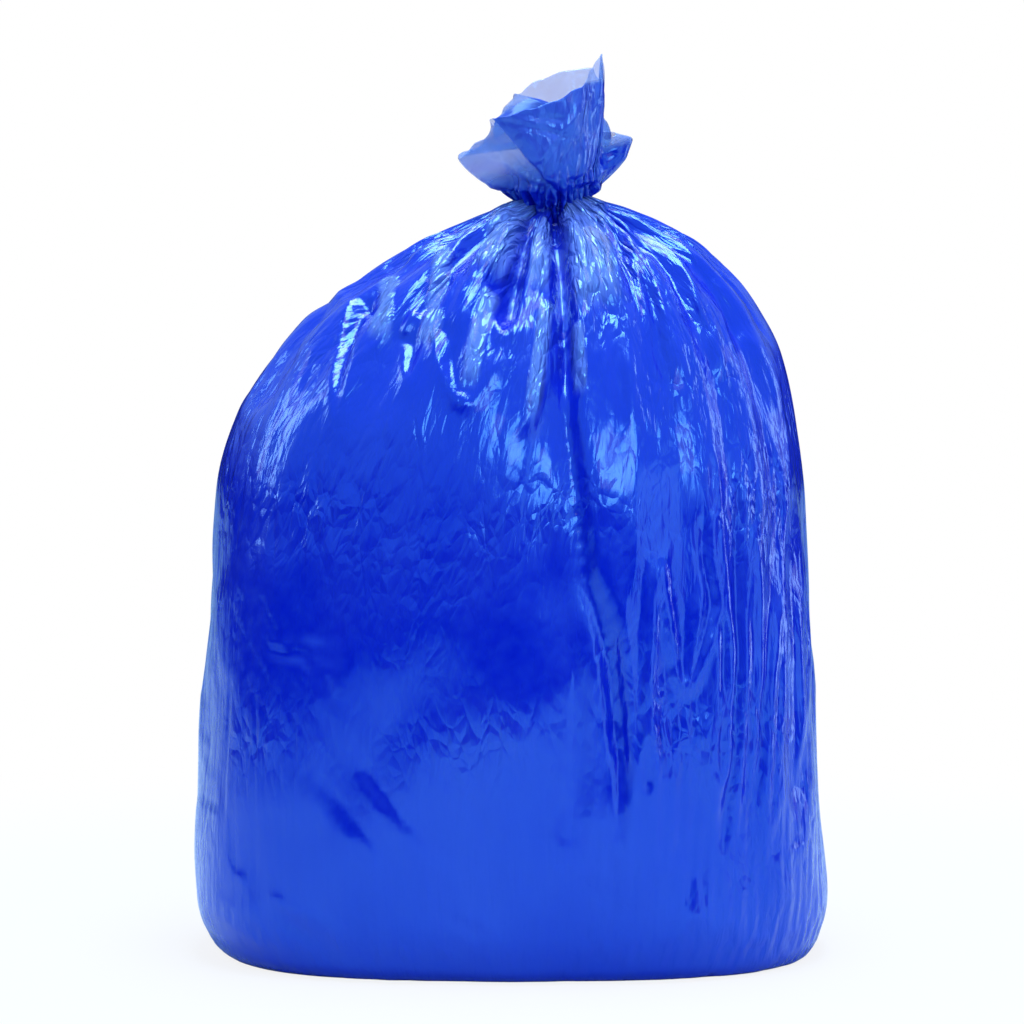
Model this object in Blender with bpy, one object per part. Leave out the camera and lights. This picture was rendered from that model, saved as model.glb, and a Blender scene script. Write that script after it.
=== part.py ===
"""A filled garbage bag that stands on its base and is tied shut with its own neck.

One sheet of film wraps the contents, is gathered into pleats at the neck, and opens above
the neck into a tuft of loose flaps. The film and what it holds can't be told apart from
outside, so the whole bag is one closed solid.

The front faces -Y, +Z is up, and the origin is on the floor under the middle of the bag's box.
"""

import math
import random

import bmesh
import bpy
from mathutils import Vector

MM = 0.001

# The flat film tube that the bag is made from
FILM_CIRCUMFERENCE = 1400 * MM

# The filled body: how far it reaches to each side at its widest line
REACH_LEFT = 248 * MM
REACH_RIGHT = 250 * MM
REACH_FRONT = 194 * MM
REACH_BACK = 192 * MM

# The belly, by how far the foot lies inside the wall: the load bulges in front and behind only
BELLY_LEFT = 0 * MM
BELLY_RIGHT = 0 * MM
BELLY_FRONT = 12 * MM
BELLY_BACK = 9 * MM

# The flat base, by how far the bottom edge lies inside the foot
FOOT_INSET_LEFT = 27 * MM
FOOT_INSET_RIGHT = 15 * MM
FOOT_INSET_FRONT = 20 * MM
FOOT_INSET_BACK = 20 * MM
FOOT_HEIGHT = 46 * MM

# The shoulder, where the wall turns in, by how far it lies inside the widest line
SHOULDER_INSET_LEFT = 16 * MM
SHOULDER_INSET_RIGHT = 13 * MM
SHOULDER_INSET_FRONT = 14 * MM
SHOULDER_INSET_BACK = 14 * MM
SHOULDER_HEIGHT = 370 * MM

# Where the wall's own curve is drawn from, as shares of the way from the foot to the shoulder
WALL_HANDLE = (0.4, 0.55)

# The curve of each shoulder: how long it goes on upwards, and how it comes in to the neck
SHOULDER_RISE = 72 * MM
LEFT_RUN = 190 * MM
RIGHT_RUN = 160 * MM
FRONT_RUN = 120 * MM
BACK_RUN = 125 * MM
NECK_SLOPE_LEFT = math.radians(19)
NECK_SLOPE_RIGHT = math.radians(12)
NECK_SLOPE_FRONT = math.radians(20)
NECK_SLOPE_BACK = math.radians(16)

# The neck, where the film is tied
NECK_HEIGHT = 598 * MM
NECK_OFFSET = 33 * MM
NECK_RADIUS = 30 * MM

# The gathers that run down from the neck
PLEAT_SHARE = 0.42
PLEAT_DEPTH_SPREAD = 0.3
COLUMNS_PER_PLEAT = 6

# Where a short pleat fades out, as a share of the rows from the base to the neck
PLEAT_END = 0.62
PLEAT_END_SPREAD = 0.3
PLEAT_FADE = 0.18

# The pleats: the direction of each valley from +X, then how deep it is on the wall, as a share of the
# deepest, and where it fades out there, as a share of the neck's height
LONG_PLEAT_DEPTH = 13 * MM
LONG_PLEAT_FADE = 90 * MM
PLEATS = (
    (-177, 0.0, 1.0),
    (-162, 0.70, 0.67),
    (-146, 0.92, 0.70),
    (-127, 0.85, 0.68),
    (-101, 0.90, 0.76),
    (-79, 0.85, 0.12),
    (-66, 0.35, 0.60),
    (-52, 0.54, 0.07),
    (-38, 0.62, 0.05),
    (-26, 0.70, 0.10),
    (-13, 0.54, 0.07),
    (3, 0.54, 0.15),
    (19, 0.0, 1.0),
    (36, 0.54, 0.40),
    (54, 0.0, 1.0),
    (71, 0.54, 0.45),
    (88, 0.0, 1.0),
    (106, 0.54, 0.33),
    (123, 0.0, 1.0),
    (140, 0.45, 0.50),
    (156, 0.0, 1.0),
    (170, 0.35, 0.55),
)

# The contents press soft lumps into the wall
LUMP_HEIGHT = 4 * MM

# The tuft above the neck: the mouth of the bag, spread into a panel in front, one behind and a lobe
# on each side. The handle says how its side curves on the way out.
TUFT_REACH = 80 * MM
TUFT_HEIGHT = 116 * MM
TUFT_BULGE = 4 * MM
TUFT_HANDLE = (0.5, 0.38)
TUFT_WALL = 2.4 * MM
TUFT_FLOOR = 26 * MM
TUFT_PLEAT_DEPTH = 9 * MM

# The rim of the tuft: angle from +X, reach from the neck's axis and height above the neck, as shares
# of the tuft's reach and height
RIM = (
    (-173, 0.93, 0.38),
    (-165, 0.58, 0.46),
    (-157, 0.70, 0.55),
    (-135, 0.58, 0.58),
    (-110, 0.52, 0.63),
    (-85, 0.48, 0.68),
    (-58, 0.46, 0.77),
    (-34, 0.46, 0.89),
    (-16, 0.51, 1.00),
    (-4, 0.40, 0.40),
    (5, 0.84, 0.46),
    (14, 0.76, 0.42),
    (24, 0.42, 0.40),
    (38, 0.80, 0.44),
    (46, 0.55, 0.62),
    (54, 0.76, 0.90),
    (75, 0.64, 0.88),
    (100, 0.60, 0.82),
    (124, 0.56, 0.72),
    (145, 0.78, 0.52),
    (157, 0.55, 0.46),
    (168, 0.96, 0.38),
    (177, 1.00, 0.25),
)

FOOT_ROWS = 4
WALL_ROWS = 7
DOME_ROWS = 16
TUFT_ROWS = 8
LINING_ROWS = 6

FOOT_ROUNDNESS = 0.7
FOOT_SQUARENESS = 2.9
WALL_SQUARENESS = 2.5
NECK_SQUARENESS = 2.0

FILM_BLUE = (0.008, 0.055, 0.62, 1.0)
FILM_ROUGHNESS = 0.28

SEED = 7


def mix(a, b, share):
    return a + (b - a) * share


def smooth_step(low, high, value):
    share = min(max((value - low) / (high - low), 0.0), 1.0)
    return share * share * (3 - 2 * share)


def bezier(points, share):
    """A point on the Bezier curve of any number of control points, by repeated halving of the list."""
    while len(points) > 1:
        points = [a.lerp(b, share) for a, b in zip(points, points[1:])]
    return points[0]


def side_profile(reach, belly, foot_inset, shoulder_inset, neck_reach, run, slope):
    """The outline of one side as (reach, height) points, from the edge of the base up to the neck."""
    foot = Vector((reach - belly, FOOT_HEIGHT))
    base = Vector((foot.x - foot_inset, 0))
    shoulder = Vector((reach - shoulder_inset, SHOULDER_HEIGHT))
    neck = Vector((neck_reach, NECK_HEIGHT))
    wall_reach = mix(foot.x, shoulder.x, WALL_HANDLE[0]) + 2 * belly
    wall_middle = Vector((wall_reach, mix(FOOT_HEIGHT, SHOULDER_HEIGHT, WALL_HANDLE[1])))
    foot_corner = foot - (wall_middle - foot).normalized() * FOOT_HEIGHT * FOOT_ROUNDNESS
    rise = shoulder + (shoulder - wall_middle).normalized() * SHOULDER_RISE
    arrival = neck + run * Vector((math.cos(slope), -math.sin(slope)))

    curves = (
        ([base, foot_corner, foot], FOOT_ROWS),
        ([foot, wall_middle, shoulder], WALL_ROWS),
        ([shoulder, rise, arrival, neck], DOME_ROWS),
    )
    profile = [base]
    for points, rows in curves:
        profile += [bezier(points, row / rows) for row in range(1, rows + 1)]
    return profile


def all_profiles():
    """The four sides, right, back, left and front, each as reaches from the body's own axis."""
    return (
        side_profile(REACH_RIGHT, BELLY_RIGHT, FOOT_INSET_RIGHT, SHOULDER_INSET_RIGHT,
                     NECK_RADIUS + NECK_OFFSET, RIGHT_RUN, NECK_SLOPE_RIGHT),
        side_profile(REACH_BACK, BELLY_BACK, FOOT_INSET_BACK, SHOULDER_INSET_BACK,
                     NECK_RADIUS, BACK_RUN, NECK_SLOPE_BACK),
        side_profile(REACH_LEFT, BELLY_LEFT, FOOT_INSET_LEFT, SHOULDER_INSET_LEFT,
                     NECK_RADIUS - NECK_OFFSET, LEFT_RUN, NECK_SLOPE_LEFT),
        side_profile(REACH_FRONT, BELLY_FRONT, FOOT_INSET_FRONT, SHOULDER_INSET_FRONT,
                     NECK_RADIUS, FRONT_RUN, NECK_SLOPE_FRONT),
    )


def squareness(row):
    """The exponent of a row's rounded outline: boxy at the base, round at the neck."""
    if row <= FOOT_ROWS:
        return FOOT_SQUARENESS
    if row <= FOOT_ROWS + WALL_ROWS:
        return mix(FOOT_SQUARENESS, WALL_SQUARENESS, (row - FOOT_ROWS) / WALL_ROWS)
    share = min((row - FOOT_ROWS - WALL_ROWS) / DOME_ROWS, 1.0)
    return mix(WALL_SQUARENESS, NECK_SQUARENESS, share)


def pleat_angles():
    """The angle of every column: each pleat runs from a ridge, through its valley, to the next ridge."""
    valleys = [math.radians(direction) for direction, _, _ in PLEATS]
    around = [valleys[-1] - 2 * math.pi] + valleys + [valleys[0] + 2 * math.pi]
    half = COLUMNS_PER_PLEAT // 2
    angles = []
    for before, valley, after in zip(around, valleys, around[2:]):
        ridge, next_ridge = mix(before, valley, 0.5), mix(valley, after, 0.5)
        angles += [mix(ridge, valley, step / half) for step in range(half)]
        angles += [mix(valley, next_ridge, step / half) for step in range(half)]
    return angles


def smooth_body(angles):
    """The rows of points of the body as if the film had no pleats."""
    right, back, left, front = all_profiles()
    rows = []
    for row, sides in enumerate(zip(right, back, left, front)):
        (right_x, right_z), (back_y, back_z), (left_x, left_z), (front_y, front_z) = sides
        middle = Vector(((right_x - left_x) / 2, (back_y - front_y) / 2))
        half_width, half_depth = (right_x + left_x) / 2, (back_y + front_y) / 2
        power = squareness(row)
        points = []
        for angle in angles:
            across, along = math.cos(angle), math.sin(angle)
            radius = (abs(across / half_width) ** power + abs(along / half_depth) ** power) ** (-1 / power)
            side_z = right_z if across > 0 else left_z
            face_z = back_z if along > 0 else front_z
            height = side_z * across**2 + face_z * along**2
            points.append(Vector((middle.x + radius * across, middle.y + radius * along, height)))
        rows.append(points)
    return rows


def surface_normal(rows, row, column):
    """The outward direction of the smooth body at one of its points."""
    count = len(rows[row])
    around = rows[row][(column + 1) % count] - rows[row][column - 1]
    upward = rows[min(row + 1, len(rows) - 1)][column] - rows[max(row - 1, 0)][column]
    return around.cross(upward).normalized()


def row_length(points):
    return sum((a - b).length for a, b in zip(points, points[1:] + points[:1]))


def film_depth(points):
    """How deep each pleat has to be for the whole film to fit round a row."""
    flat_width = FILM_CIRCUMFERENCE / len(PLEATS)
    room = min(row_length(points) / len(PLEATS), flat_width)
    return math.sqrt(flat_width**2 - room**2) / 2


def pleated_body(angles, chance):
    """The rows of points of the body, with each pleat sunk below the smooth surface."""
    rows = smooth_body(angles)
    last = len(rows) - 1
    ends = [PLEAT_END + PLEAT_END_SPREAD * chance.uniform(-1, 1) for _ in PLEATS]
    strengths = [1 + PLEAT_DEPTH_SPREAD * chance.uniform(-1, 1) for _ in PLEATS]
    pleated = []
    for row, points in enumerate(rows):
        depth = film_depth(points) * PLEAT_SHARE
        share = row / last
        moved = []
        for column, point in enumerate(points):
            pleat = column // COLUMNS_PER_PLEAT
            sink = depth * strengths[pleat] * smooth_step(ends[pleat] - PLEAT_FADE, 1.0, share)
            _, wall_depth, lowest = PLEATS[pleat]
            on_wall = smooth_step(0, LONG_PLEAT_FADE, point.z - NECK_HEIGHT * lowest)
            sink = max(sink, LONG_PLEAT_DEPTH * wall_depth * on_wall)
            swell = LUMP_HEIGHT * lump(angles[column], share) if row else 0
            moved.append(point + surface_normal(rows, row, column) * (swell - sink * fold(column)))
        pleated.append(moved)
    return pleated


def fold(column):
    """How far down the side of its pleat a column lies, from 0 on the ridge to 1 in the valley."""
    step = column % COLUMNS_PER_PLEAT
    return 1 - abs(2 * step / COLUMNS_PER_PLEAT - 1)


def lump(angle, share):
    """Soft swellings of the wall, from -1 to 1, that die out at the base and at the neck."""
    waves = math.sin(2 * angle + 9 * share) + math.sin(3 * angle - 7 * share + 1.3)
    return 0.5 * waves * math.sin(math.pi * share)


def rim_at(angle):
    """The reach and the height of the tuft's rim in one direction."""
    turn = math.degrees(angle)
    after = next((i for i, (at, _, _) in enumerate(RIM) if at > turn), 0)
    low, low_reach, low_rise = RIM[after - 1]
    high, high_reach, high_rise = RIM[after]
    share = smooth_step(0, 1, (turn - low) % 360 / ((high - low) % 360))
    return TUFT_REACH * mix(low_reach, high_reach, share), TUFT_HEIGHT * mix(low_rise, high_rise, share)


def smooth_tuft(angles):
    """The rows of points of the tuft, from the neck out to its rim, as if the film had no pleats."""
    rows = []
    for row in range(TUFT_ROWS + 1):
        points = []
        for angle in angles:
            reach, rise = rim_at(angle)
            handle = Vector((mix(NECK_RADIUS, reach, TUFT_HANDLE[0]) + TUFT_BULGE, TUFT_HANDLE[1] * rise))
            out, up = bezier([Vector((NECK_RADIUS, 0)), handle, Vector((reach, rise))], row / TUFT_ROWS)
            across, along = out * math.cos(angle), out * math.sin(angle)
            points.append(Vector((NECK_OFFSET + across, along, NECK_HEIGHT + up)))
        rows.append(points)
    return rows


def tuft(angles):
    """The rows of the tuft: its outside from the neck up to the rim, then its lining from the rim down."""
    rows = smooth_tuft(angles)
    outside = []
    for row in range(1, TUFT_ROWS + 1):
        depth = TUFT_PLEAT_DEPTH * (1 - row / TUFT_ROWS) ** 2
        outside.append([
            point - surface_normal(rows, row, column) * depth * fold(column)
            for column, point in enumerate(rows[row])
        ])
    lining = []
    for row in range(TUFT_ROWS, TUFT_ROWS - LINING_ROWS, -1):
        depth = TUFT_WALL + TUFT_PLEAT_DEPTH * (1 - row / TUFT_ROWS) ** 2
        lining.append([
            point - surface_normal(rows, row, column) * depth
            for column, point in enumerate(rows[row])
        ])
    return outside, lining


def box_middle(rows):
    """The middle, at floor level, of the box that holds all the points."""
    every = [point for points in rows for point in points]
    across = [point.x for point in every]
    along = [point.y for point in every]
    return Vector(((min(across) + max(across)) / 2, (min(along) + max(along)) / 2, 0))


def make_bag():
    """The whole film as one skin: base, wall, pleated shoulders, neck, tuft, and the inside of the tuft."""
    chance = random.Random(SEED)
    angles = pleat_angles()
    outside, lining = tuft(angles)
    rows = pleated_body(angles, chance) + outside + lining
    middle = box_middle(rows)

    mesh_edit = bmesh.new()
    rings = [[mesh_edit.verts.new(point - middle) for point in points] for points in rows]
    for low, high in zip(rings, rings[1:]):
        for column in range(len(low)):
            after = (column + 1) % len(low)
            mesh_edit.faces.new((low[column], low[after], high[after], high[column]))
    mesh_edit.faces.new(reversed(rings[0]))
    floor = mesh_edit.verts.new(Vector((NECK_OFFSET, 0, NECK_HEIGHT + TUFT_FLOOR)) - middle)
    for column, vert in enumerate(rings[-1]):
        mesh_edit.faces.new((vert, rings[-1][(column + 1) % len(rings[-1])], floor))

    mesh = bpy.data.meshes.new("garbage_bag")
    mesh_edit.to_mesh(mesh)
    mesh_edit.free()
    mesh.shade_smooth()
    bag = bpy.data.objects.new("garbage_bag", mesh)
    bpy.context.scene.collection.objects.link(bag)
    return bag


def film_material():
    """Glossy blue polythene film."""
    material = bpy.data.materials.new("blue_film")
    material.use_nodes = True
    shader = material.node_tree.nodes["Principled BSDF"]
    shader.inputs["Base Color"].default_value = FILM_BLUE
    shader.inputs["Roughness"].default_value = FILM_ROUGHNESS
    shader.inputs["Metallic"].default_value = 0.0
    return material


for old in list(bpy.data.objects):
    bpy.data.objects.remove(old)
make_bag().data.materials.append(film_material())
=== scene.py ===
# %% [markdown]
# # A tied garbage bag
#
# A filled garbage bag is one sheet of very thin polythene film. Nothing in it is stiff, so every
# highlight that makes it read as film comes from how the sheet had to fold to fit round its load:
# gathers that fan out from the tied neck, long pleats down the side where the film was too wide,
# a smooth panel where it lies tight, and crumples where it has been handled.
#
# The imported solid gives the bag's true size and outer form. This script lays a fine grid of film
# over that form, folds it along listed paths where the folds are large, and then lets the sheet settle
# as a material that can't stretch, so that the small folds find their own shape.

# %% Load the fixed frame
import math
import time

import bpy
import numpy as np
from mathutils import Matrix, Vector
from mathutils.bvhtree import BVHTree


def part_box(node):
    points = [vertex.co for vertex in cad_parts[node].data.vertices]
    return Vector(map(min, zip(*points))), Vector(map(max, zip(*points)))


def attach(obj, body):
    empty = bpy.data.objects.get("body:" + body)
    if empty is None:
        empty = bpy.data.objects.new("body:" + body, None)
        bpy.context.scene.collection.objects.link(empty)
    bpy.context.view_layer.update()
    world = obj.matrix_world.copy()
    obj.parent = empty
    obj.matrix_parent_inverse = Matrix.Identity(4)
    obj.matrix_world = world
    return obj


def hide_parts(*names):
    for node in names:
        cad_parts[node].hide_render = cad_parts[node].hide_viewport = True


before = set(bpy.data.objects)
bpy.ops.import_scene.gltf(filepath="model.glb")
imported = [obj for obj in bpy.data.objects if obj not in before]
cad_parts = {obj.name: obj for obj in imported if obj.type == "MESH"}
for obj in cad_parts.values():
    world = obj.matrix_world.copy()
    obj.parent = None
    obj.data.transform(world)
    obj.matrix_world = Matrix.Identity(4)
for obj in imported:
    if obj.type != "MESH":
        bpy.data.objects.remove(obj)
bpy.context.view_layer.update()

MM = 0.001
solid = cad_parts["garbage_bag"]
low_corner, high_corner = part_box("garbage_bag")
started = time.time()
print("solid from", [round(v, 3) for v in low_corner], "to", [round(v, 3) for v in high_corner])

# %% [markdown]
# ## Camera
#
# The bag is seen nearly level, a few degrees from above, and its upright edges stay parallel, which
# means a long lens far away. The width of the view is set at the middle of the bag's depth, so the
# camera's distance follows from the lens, and no shift is needed.

# %% Camera at the photograph's angle
scene = bpy.context.scene
VIEW_WIDTH = 815.3 * MM
VIEW_HEIGHT = 348.7 * MM
VIEW_ASIDE = 0.8 * MM
LENS = 180.0
SENSOR = 36.0
LOOKS_DOWN = math.radians(5)

camera = bpy.data.objects.new("camera", bpy.data.cameras.new("camera"))
camera.data.lens = LENS
camera.data.sensor_width = SENSOR
view_middle = Vector((VIEW_ASIDE, 0, VIEW_HEIGHT / math.cos(LOOKS_DOWN)))
view_distance = VIEW_WIDTH * LENS / SENSOR
camera.location = view_middle + view_distance * Vector((0, -math.cos(LOOKS_DOWN), math.sin(LOOKS_DOWN)))
camera.rotation_euler = (math.pi / 2 - LOOKS_DOWN, 0, 0)
camera.data.clip_end = 100
scene.collection.objects.link(camera)
scene.camera = camera
scene.view_settings.view_transform = "Standard"
print("camera stands", round(view_distance, 2), "m away")

# %% [markdown]
# ## Floor, room and lamps
#
# Glossy film shows the room more than it shows its own colour, so the studio is laid out by what the
# bag has to mirror. The calm panel in the middle is dark, because it mirrors an unlit room at eye
# level. The crumples near the neck mirror two soft lamps overhead, one a little in front of the bag
# and one behind it, and the shoulders mirror the paler upper part of the room. The lower half mirrors
# the floor in front, which a small lamp of its own brightens. Two narrow lamps at the sides draw the
# edges, and a broad, weak one at the front right keeps that side from going black.
#
# Room, floor and lamps are all a little blue. Only the brightest highlights of such a bag turn white,
# and what lies between them and the film's own colour stays a clear blue.
#
# The white background isn't light: the floor and the world are white only for rays that come
# straight from the camera, so they add nothing to the bag. The floor keeps a part of its real
# shading there, so that the bag's shadow stays.

# %% The room, dim at eye level
EYE_LEVEL = 0.03
OVERHEAD_LEVEL = 0.9
# The room turns paler between these heights of a direction, where 1 is straight up
PALER_BETWEEN = (0.02, 0.36)
ROOM_TINT = (0.45, 0.75, 1.0, 1)


def smooth_range(tree, between, values):
    """A node that goes softly from its first value to its last while its input crosses a range."""
    node = tree.nodes.new("ShaderNodeMapRange")
    node.interpolation_type = "SMOOTHSTEP"
    for socket, value in zip(("From Min", "From Max", "To Min", "To Max"), between + values):
        node.inputs[socket].default_value = value
    return node


world = bpy.data.worlds.new("studio")
scene.world = world
world.use_nodes = True
room = world.node_tree
direction = room.nodes.new("ShaderNodeTexCoord")
split = room.nodes.new("ShaderNodeSeparateXYZ")
height_share = smooth_range(room, PALER_BETWEEN, (EYE_LEVEL, OVERHEAD_LEVEL))
room_light = room.nodes["Background"]
room_light.inputs["Color"].default_value = ROOM_TINT
backdrop = room.nodes.new("ShaderNodeBackground")
backdrop.inputs["Color"].default_value = (1, 1, 1, 1)
room_mix = room.nodes.new("ShaderNodeMixShader")
seen_straight = room.nodes.new("ShaderNodeLightPath").outputs["Is Camera Ray"]
room.links.new(direction.outputs["Generated"], split.inputs[0])
room.links.new(split.outputs["Z"], height_share.inputs["Value"])
room.links.new(height_share.outputs[0], room_light.inputs["Strength"])
room.links.new(seen_straight, room_mix.inputs["Fac"])
room.links.new(room_light.outputs[0], room_mix.inputs[1])
room.links.new(backdrop.outputs[0], room_mix.inputs[2])
room.links.new(room_mix.outputs[0], room.nodes["World Output"].inputs["Surface"])
print("room light from", EYE_LEVEL, "at eye level to", OVERHEAD_LEVEL, "overhead")

# %% Floor, whiter away from the bag
FLOOR_REACH = 6.0
SHADOW_REACH = (0.4, 1.1)
WHITENING = (0.86, 1.0)
FLOOR_TINT = (0.52, 0.65, 0.79, 1)
floor_mesh = bpy.data.meshes.new("floor")
corners = [(-FLOOR_REACH, -FLOOR_REACH, 0), (FLOOR_REACH, -FLOOR_REACH, 0),
           (FLOOR_REACH, FLOOR_REACH, 0), (-FLOOR_REACH, FLOOR_REACH, 0)]
floor_mesh.from_pydata(corners, [], [(0, 1, 2, 3)])
floor = bpy.data.objects.new("floor", floor_mesh)
scene.collection.objects.link(floor)
paint = bpy.data.materials.new("floor_white")
paint.use_nodes = True
nodes, links = paint.node_tree.nodes, paint.node_tree.links
floor_shader = nodes["Principled BSDF"]
floor_shader.inputs["Base Color"].default_value = FLOOR_TINT
floor_shader.inputs["Roughness"].default_value = 0.9
floor_shader.inputs["Specular IOR Level"].default_value = 0.1
where = nodes.new("ShaderNodeTexCoord")
from_bag = nodes.new("ShaderNodeVectorMath")
from_bag.operation = "LENGTH"
far_share = smooth_range(paint.node_tree, SHADOW_REACH, WHITENING)
white = nodes.new("ShaderNodeEmission")
straight = nodes.new("ShaderNodeLightPath")
white_share = nodes.new("ShaderNodeMath")
white_share.operation = "MULTIPLY"
floor_mix = nodes.new("ShaderNodeMixShader")
links.new(where.outputs["Object"], from_bag.inputs[0])
links.new(from_bag.outputs["Value"], far_share.inputs["Value"])
links.new(far_share.outputs[0], white_share.inputs[0])
links.new(straight.outputs["Is Camera Ray"], white_share.inputs[1])
links.new(white_share.outputs[0], floor_mix.inputs["Fac"])
links.new(floor_shader.outputs[0], floor_mix.inputs[1])
links.new(white.outputs[0], floor_mix.inputs[2])
links.new(floor_mix.outputs[0], nodes["Material Output"].inputs["Surface"])
floor_mesh.materials.append(paint)
print("floor", 2 * FLOOR_REACH, "m wide, fully white from", SHADOW_REACH[1], "m away from the bag")


# %% Lamps
def soft_lamp(name, place, aim, size, watts, tint=(1, 1, 1)):
    """A rectangular soft lamp that faces a point of the bag."""
    lamp = bpy.data.lights.new(name, "AREA")
    lamp.shape = "RECTANGLE"
    lamp.size, lamp.size_y = size
    lamp.energy = watts
    lamp.color = tint
    holder = bpy.data.objects.new(name, lamp)
    holder.location = place
    holder.rotation_euler = (Vector(aim) - Vector(place)).to_track_quat("-Z", "Y").to_euler()
    scene.collection.objects.link(holder)
    return holder


BAG_MIDDLE = (0, 0, 0.36)
DAYLIGHT = (0.92, 0.96, 1.0)
soft_lamp("overhead", (0.1, -0.45, 2.3), BAG_MIDDLE, (0.9, 0.9), 32)
soft_lamp("above_neck", (0.1, 0.5, 2.3), (0, 0, 0.5), (0.8, 0.9), 24)
soft_lamp("floor_wash", (0.3, -1.15, 0.9), (0.25, -0.9, 0), (0.6, 0.4), 4, (0.85, 0.94, 1.0))
soft_lamp("right_front", (1.6, -1.3, 0.55), BAG_MIDDLE, (1.0, 1.1), 4, (0.70, 0.88, 1.0))
soft_lamp("right_edge", (1.7, 0.35, 0.7), BAG_MIDDLE, (0.35, 1.3), 5, DAYLIGHT)
soft_lamp("left_edge", (-1.5, 0.1, 1.1), BAG_MIDDLE, (0.3, 1.0), 5, DAYLIGHT)

# %% [markdown]
# ## The outer form
#
# The load holds the film out, so the film can be read as a smooth hull with folds on it. The hull
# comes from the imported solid: rings of rays from inside find how far the solid reaches. It could also
# be drawn afresh, but then it wouldn't follow the solid when a size changes. The solid's own pleats
# are bridged for the hull, and kept apart as the first of the film's folds.
#
# A ring round the bag and a line up the bag are also how the film was made, a tube from a roll, so
# the grid's columns are later the direction in which the gathers run.

# %% Small helpers
def ease(low, high, value):
    """0 below low, 1 above high, with a soft start and end."""
    share = np.clip((value - low) / (high - low), 0, 1)
    return share * share * (3 - 2 * share)


def length_of(vectors):
    return np.sqrt((vectors * vectors).sum(0))


def unit(vectors):
    return vectors / np.maximum(length_of(vectors), 1e-12)


def read_between(ring, at):
    """Values that run round a ring, their last axis, read between its steps."""
    count = ring.shape[-1]
    low = np.floor(at).astype(int)
    share = at - low
    return ring[..., low % count] * (1 - share) + ring[..., (low + 1) % count] * share


def blurred_round(values, span):
    """Each ring blurred along itself."""
    steps = np.arange(-math.ceil(3 * span), math.ceil(3 * span) + 1)
    weights = np.exp(-0.5 * (steps / span) ** 2)
    weights /= weights.sum()
    return sum(weight * np.roll(values, step, 1) for weight, step in zip(weights, steps))


# %% Find the neck
solid_points = np.array([vert.co for vert in solid.data.vertices])
solid_faces = [face.vertices for face in solid.data.polygons]
solid_tree = BVHTree.FromPolygons([vert.co for vert in solid.data.vertices], solid_faces)
SLICE = 3 * MM
FEWEST_POINTS = 8
# The bag is narrowest at the neck, somewhere between these shares of its height
NECK_BETWEEN = (0.70, 0.95)


def width_at(height):
    """The width of the solid in a thin slice, or endless where it has too few points."""
    near = solid_points[abs(solid_points[:, 2] - height) < SLICE]
    return np.ptp(near[:, 0]) if len(near) > FEWEST_POINTS else np.inf


heights = np.linspace(*NECK_BETWEEN, 120) * high_corner[2]
neck_height = float(min(heights, key=width_at))
ring_at_neck = solid_points[abs(solid_points[:, 2] - neck_height) < SLICE]
neck = np.array([ring_at_neck[:, 0].mean(), ring_at_neck[:, 1].mean(), neck_height])
print("neck at", neck.round(3), "and", round(width_at(neck_height), 3), "m wide")

# %% Rings of the hull
DIRECTIONS = 240
RINGS = 170
BRIDGE = 9
HULL_BLUR = 4
PLEAT_BLUR = 1.2
# The rings stand closer towards the neck, and their middles lean over to it from this share of its height
RING_CROWDING = 2.2
LEANS_FROM = 0.35
turns = np.linspace(-math.pi, math.pi, DIRECTIONS, endpoint=False)
climb = 1 - (1 - np.linspace(0, 1, RINGS)) ** RING_CROWDING
ring_heights = MM + (neck_height - MM) * climb
ring_middles = neck[:2, None] * ease(LEANS_FROM * neck_height, neck_height, ring_heights)


def reach_of_solid(ring, turn):
    """How far from a ring's middle the solid's side is."""
    start = Vector((*ring_middles[:, ring], ring_heights[ring]))
    hit = solid_tree.ray_cast(start, Vector((math.cos(turn), math.sin(turn), 0)))
    return hit[3]


reaches = np.array([[reach_of_solid(ring, turn) for turn in turns] for ring in range(RINGS)])
bridged = np.max([np.roll(reaches, step, 1) for step in range(-BRIDGE, BRIDGE + 1)], axis=0)
bridged = np.min([np.roll(bridged, step, 1) for step in range(-BRIDGE, BRIDGE + 1)], axis=0)
bridged = blurred_round(bridged, HULL_BLUR)
bridged[2:-2] = (bridged[:-4] + bridged[1:-3] + bridged[2:-2] + bridged[3:-1] + bridged[4:]) / 5
solid_pleats = blurred_round(reaches, PLEAT_BLUR) - bridged


def rings_at(distances):
    """Points (3, rings, directions) at a distance from the middle of each ring."""
    return np.stack([
        ring_middles[0][:, None] + distances * np.cos(turns),
        ring_middles[1][:, None] + distances * np.sin(turns),
        np.repeat(ring_heights[:, None], DIRECTIONS, 1),
    ])


hull = rings_at(bridged)
print("hull of", hull.shape[1], "rings, widest", round(float(np.ptp(hull[0])), 3), "m, with pleats up to",
      round(float(-solid_pleats.min()), 3), "m deep")

# %% [markdown]
# ## A grid of film
#
# The grid has to be fine where it is looked at and coarse where it isn't, so its columns stand
# closer in front and its rows closer near the neck. Each column starts a little way in under the
# base, climbs the wall and ends at the neck, so a fold that runs to the neck follows the columns.
# A mesh cut into squares by a modifier would be as fine, but its lines wouldn't follow the gathers.

# %% Columns and rows on the hull
FRONT_DENSITY = 1.7
UNDER_BASE = 45 * MM
BASE_LIFT = 0.4 * MM
UNDER_ROWS = 7
# Columns are counted out on the ring at this height, and crowd together within this much of the front
COUNTING_HEIGHT = 60 * MM
FRONT_BLEND = 0.35
# Rows are closer on the dome than on the wall, and change between these shares of a column
WALL_SPACING = 1.25
DOME_SPACING = 0.85
SPACING_CHANGES = (0.45, 0.60)


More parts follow.
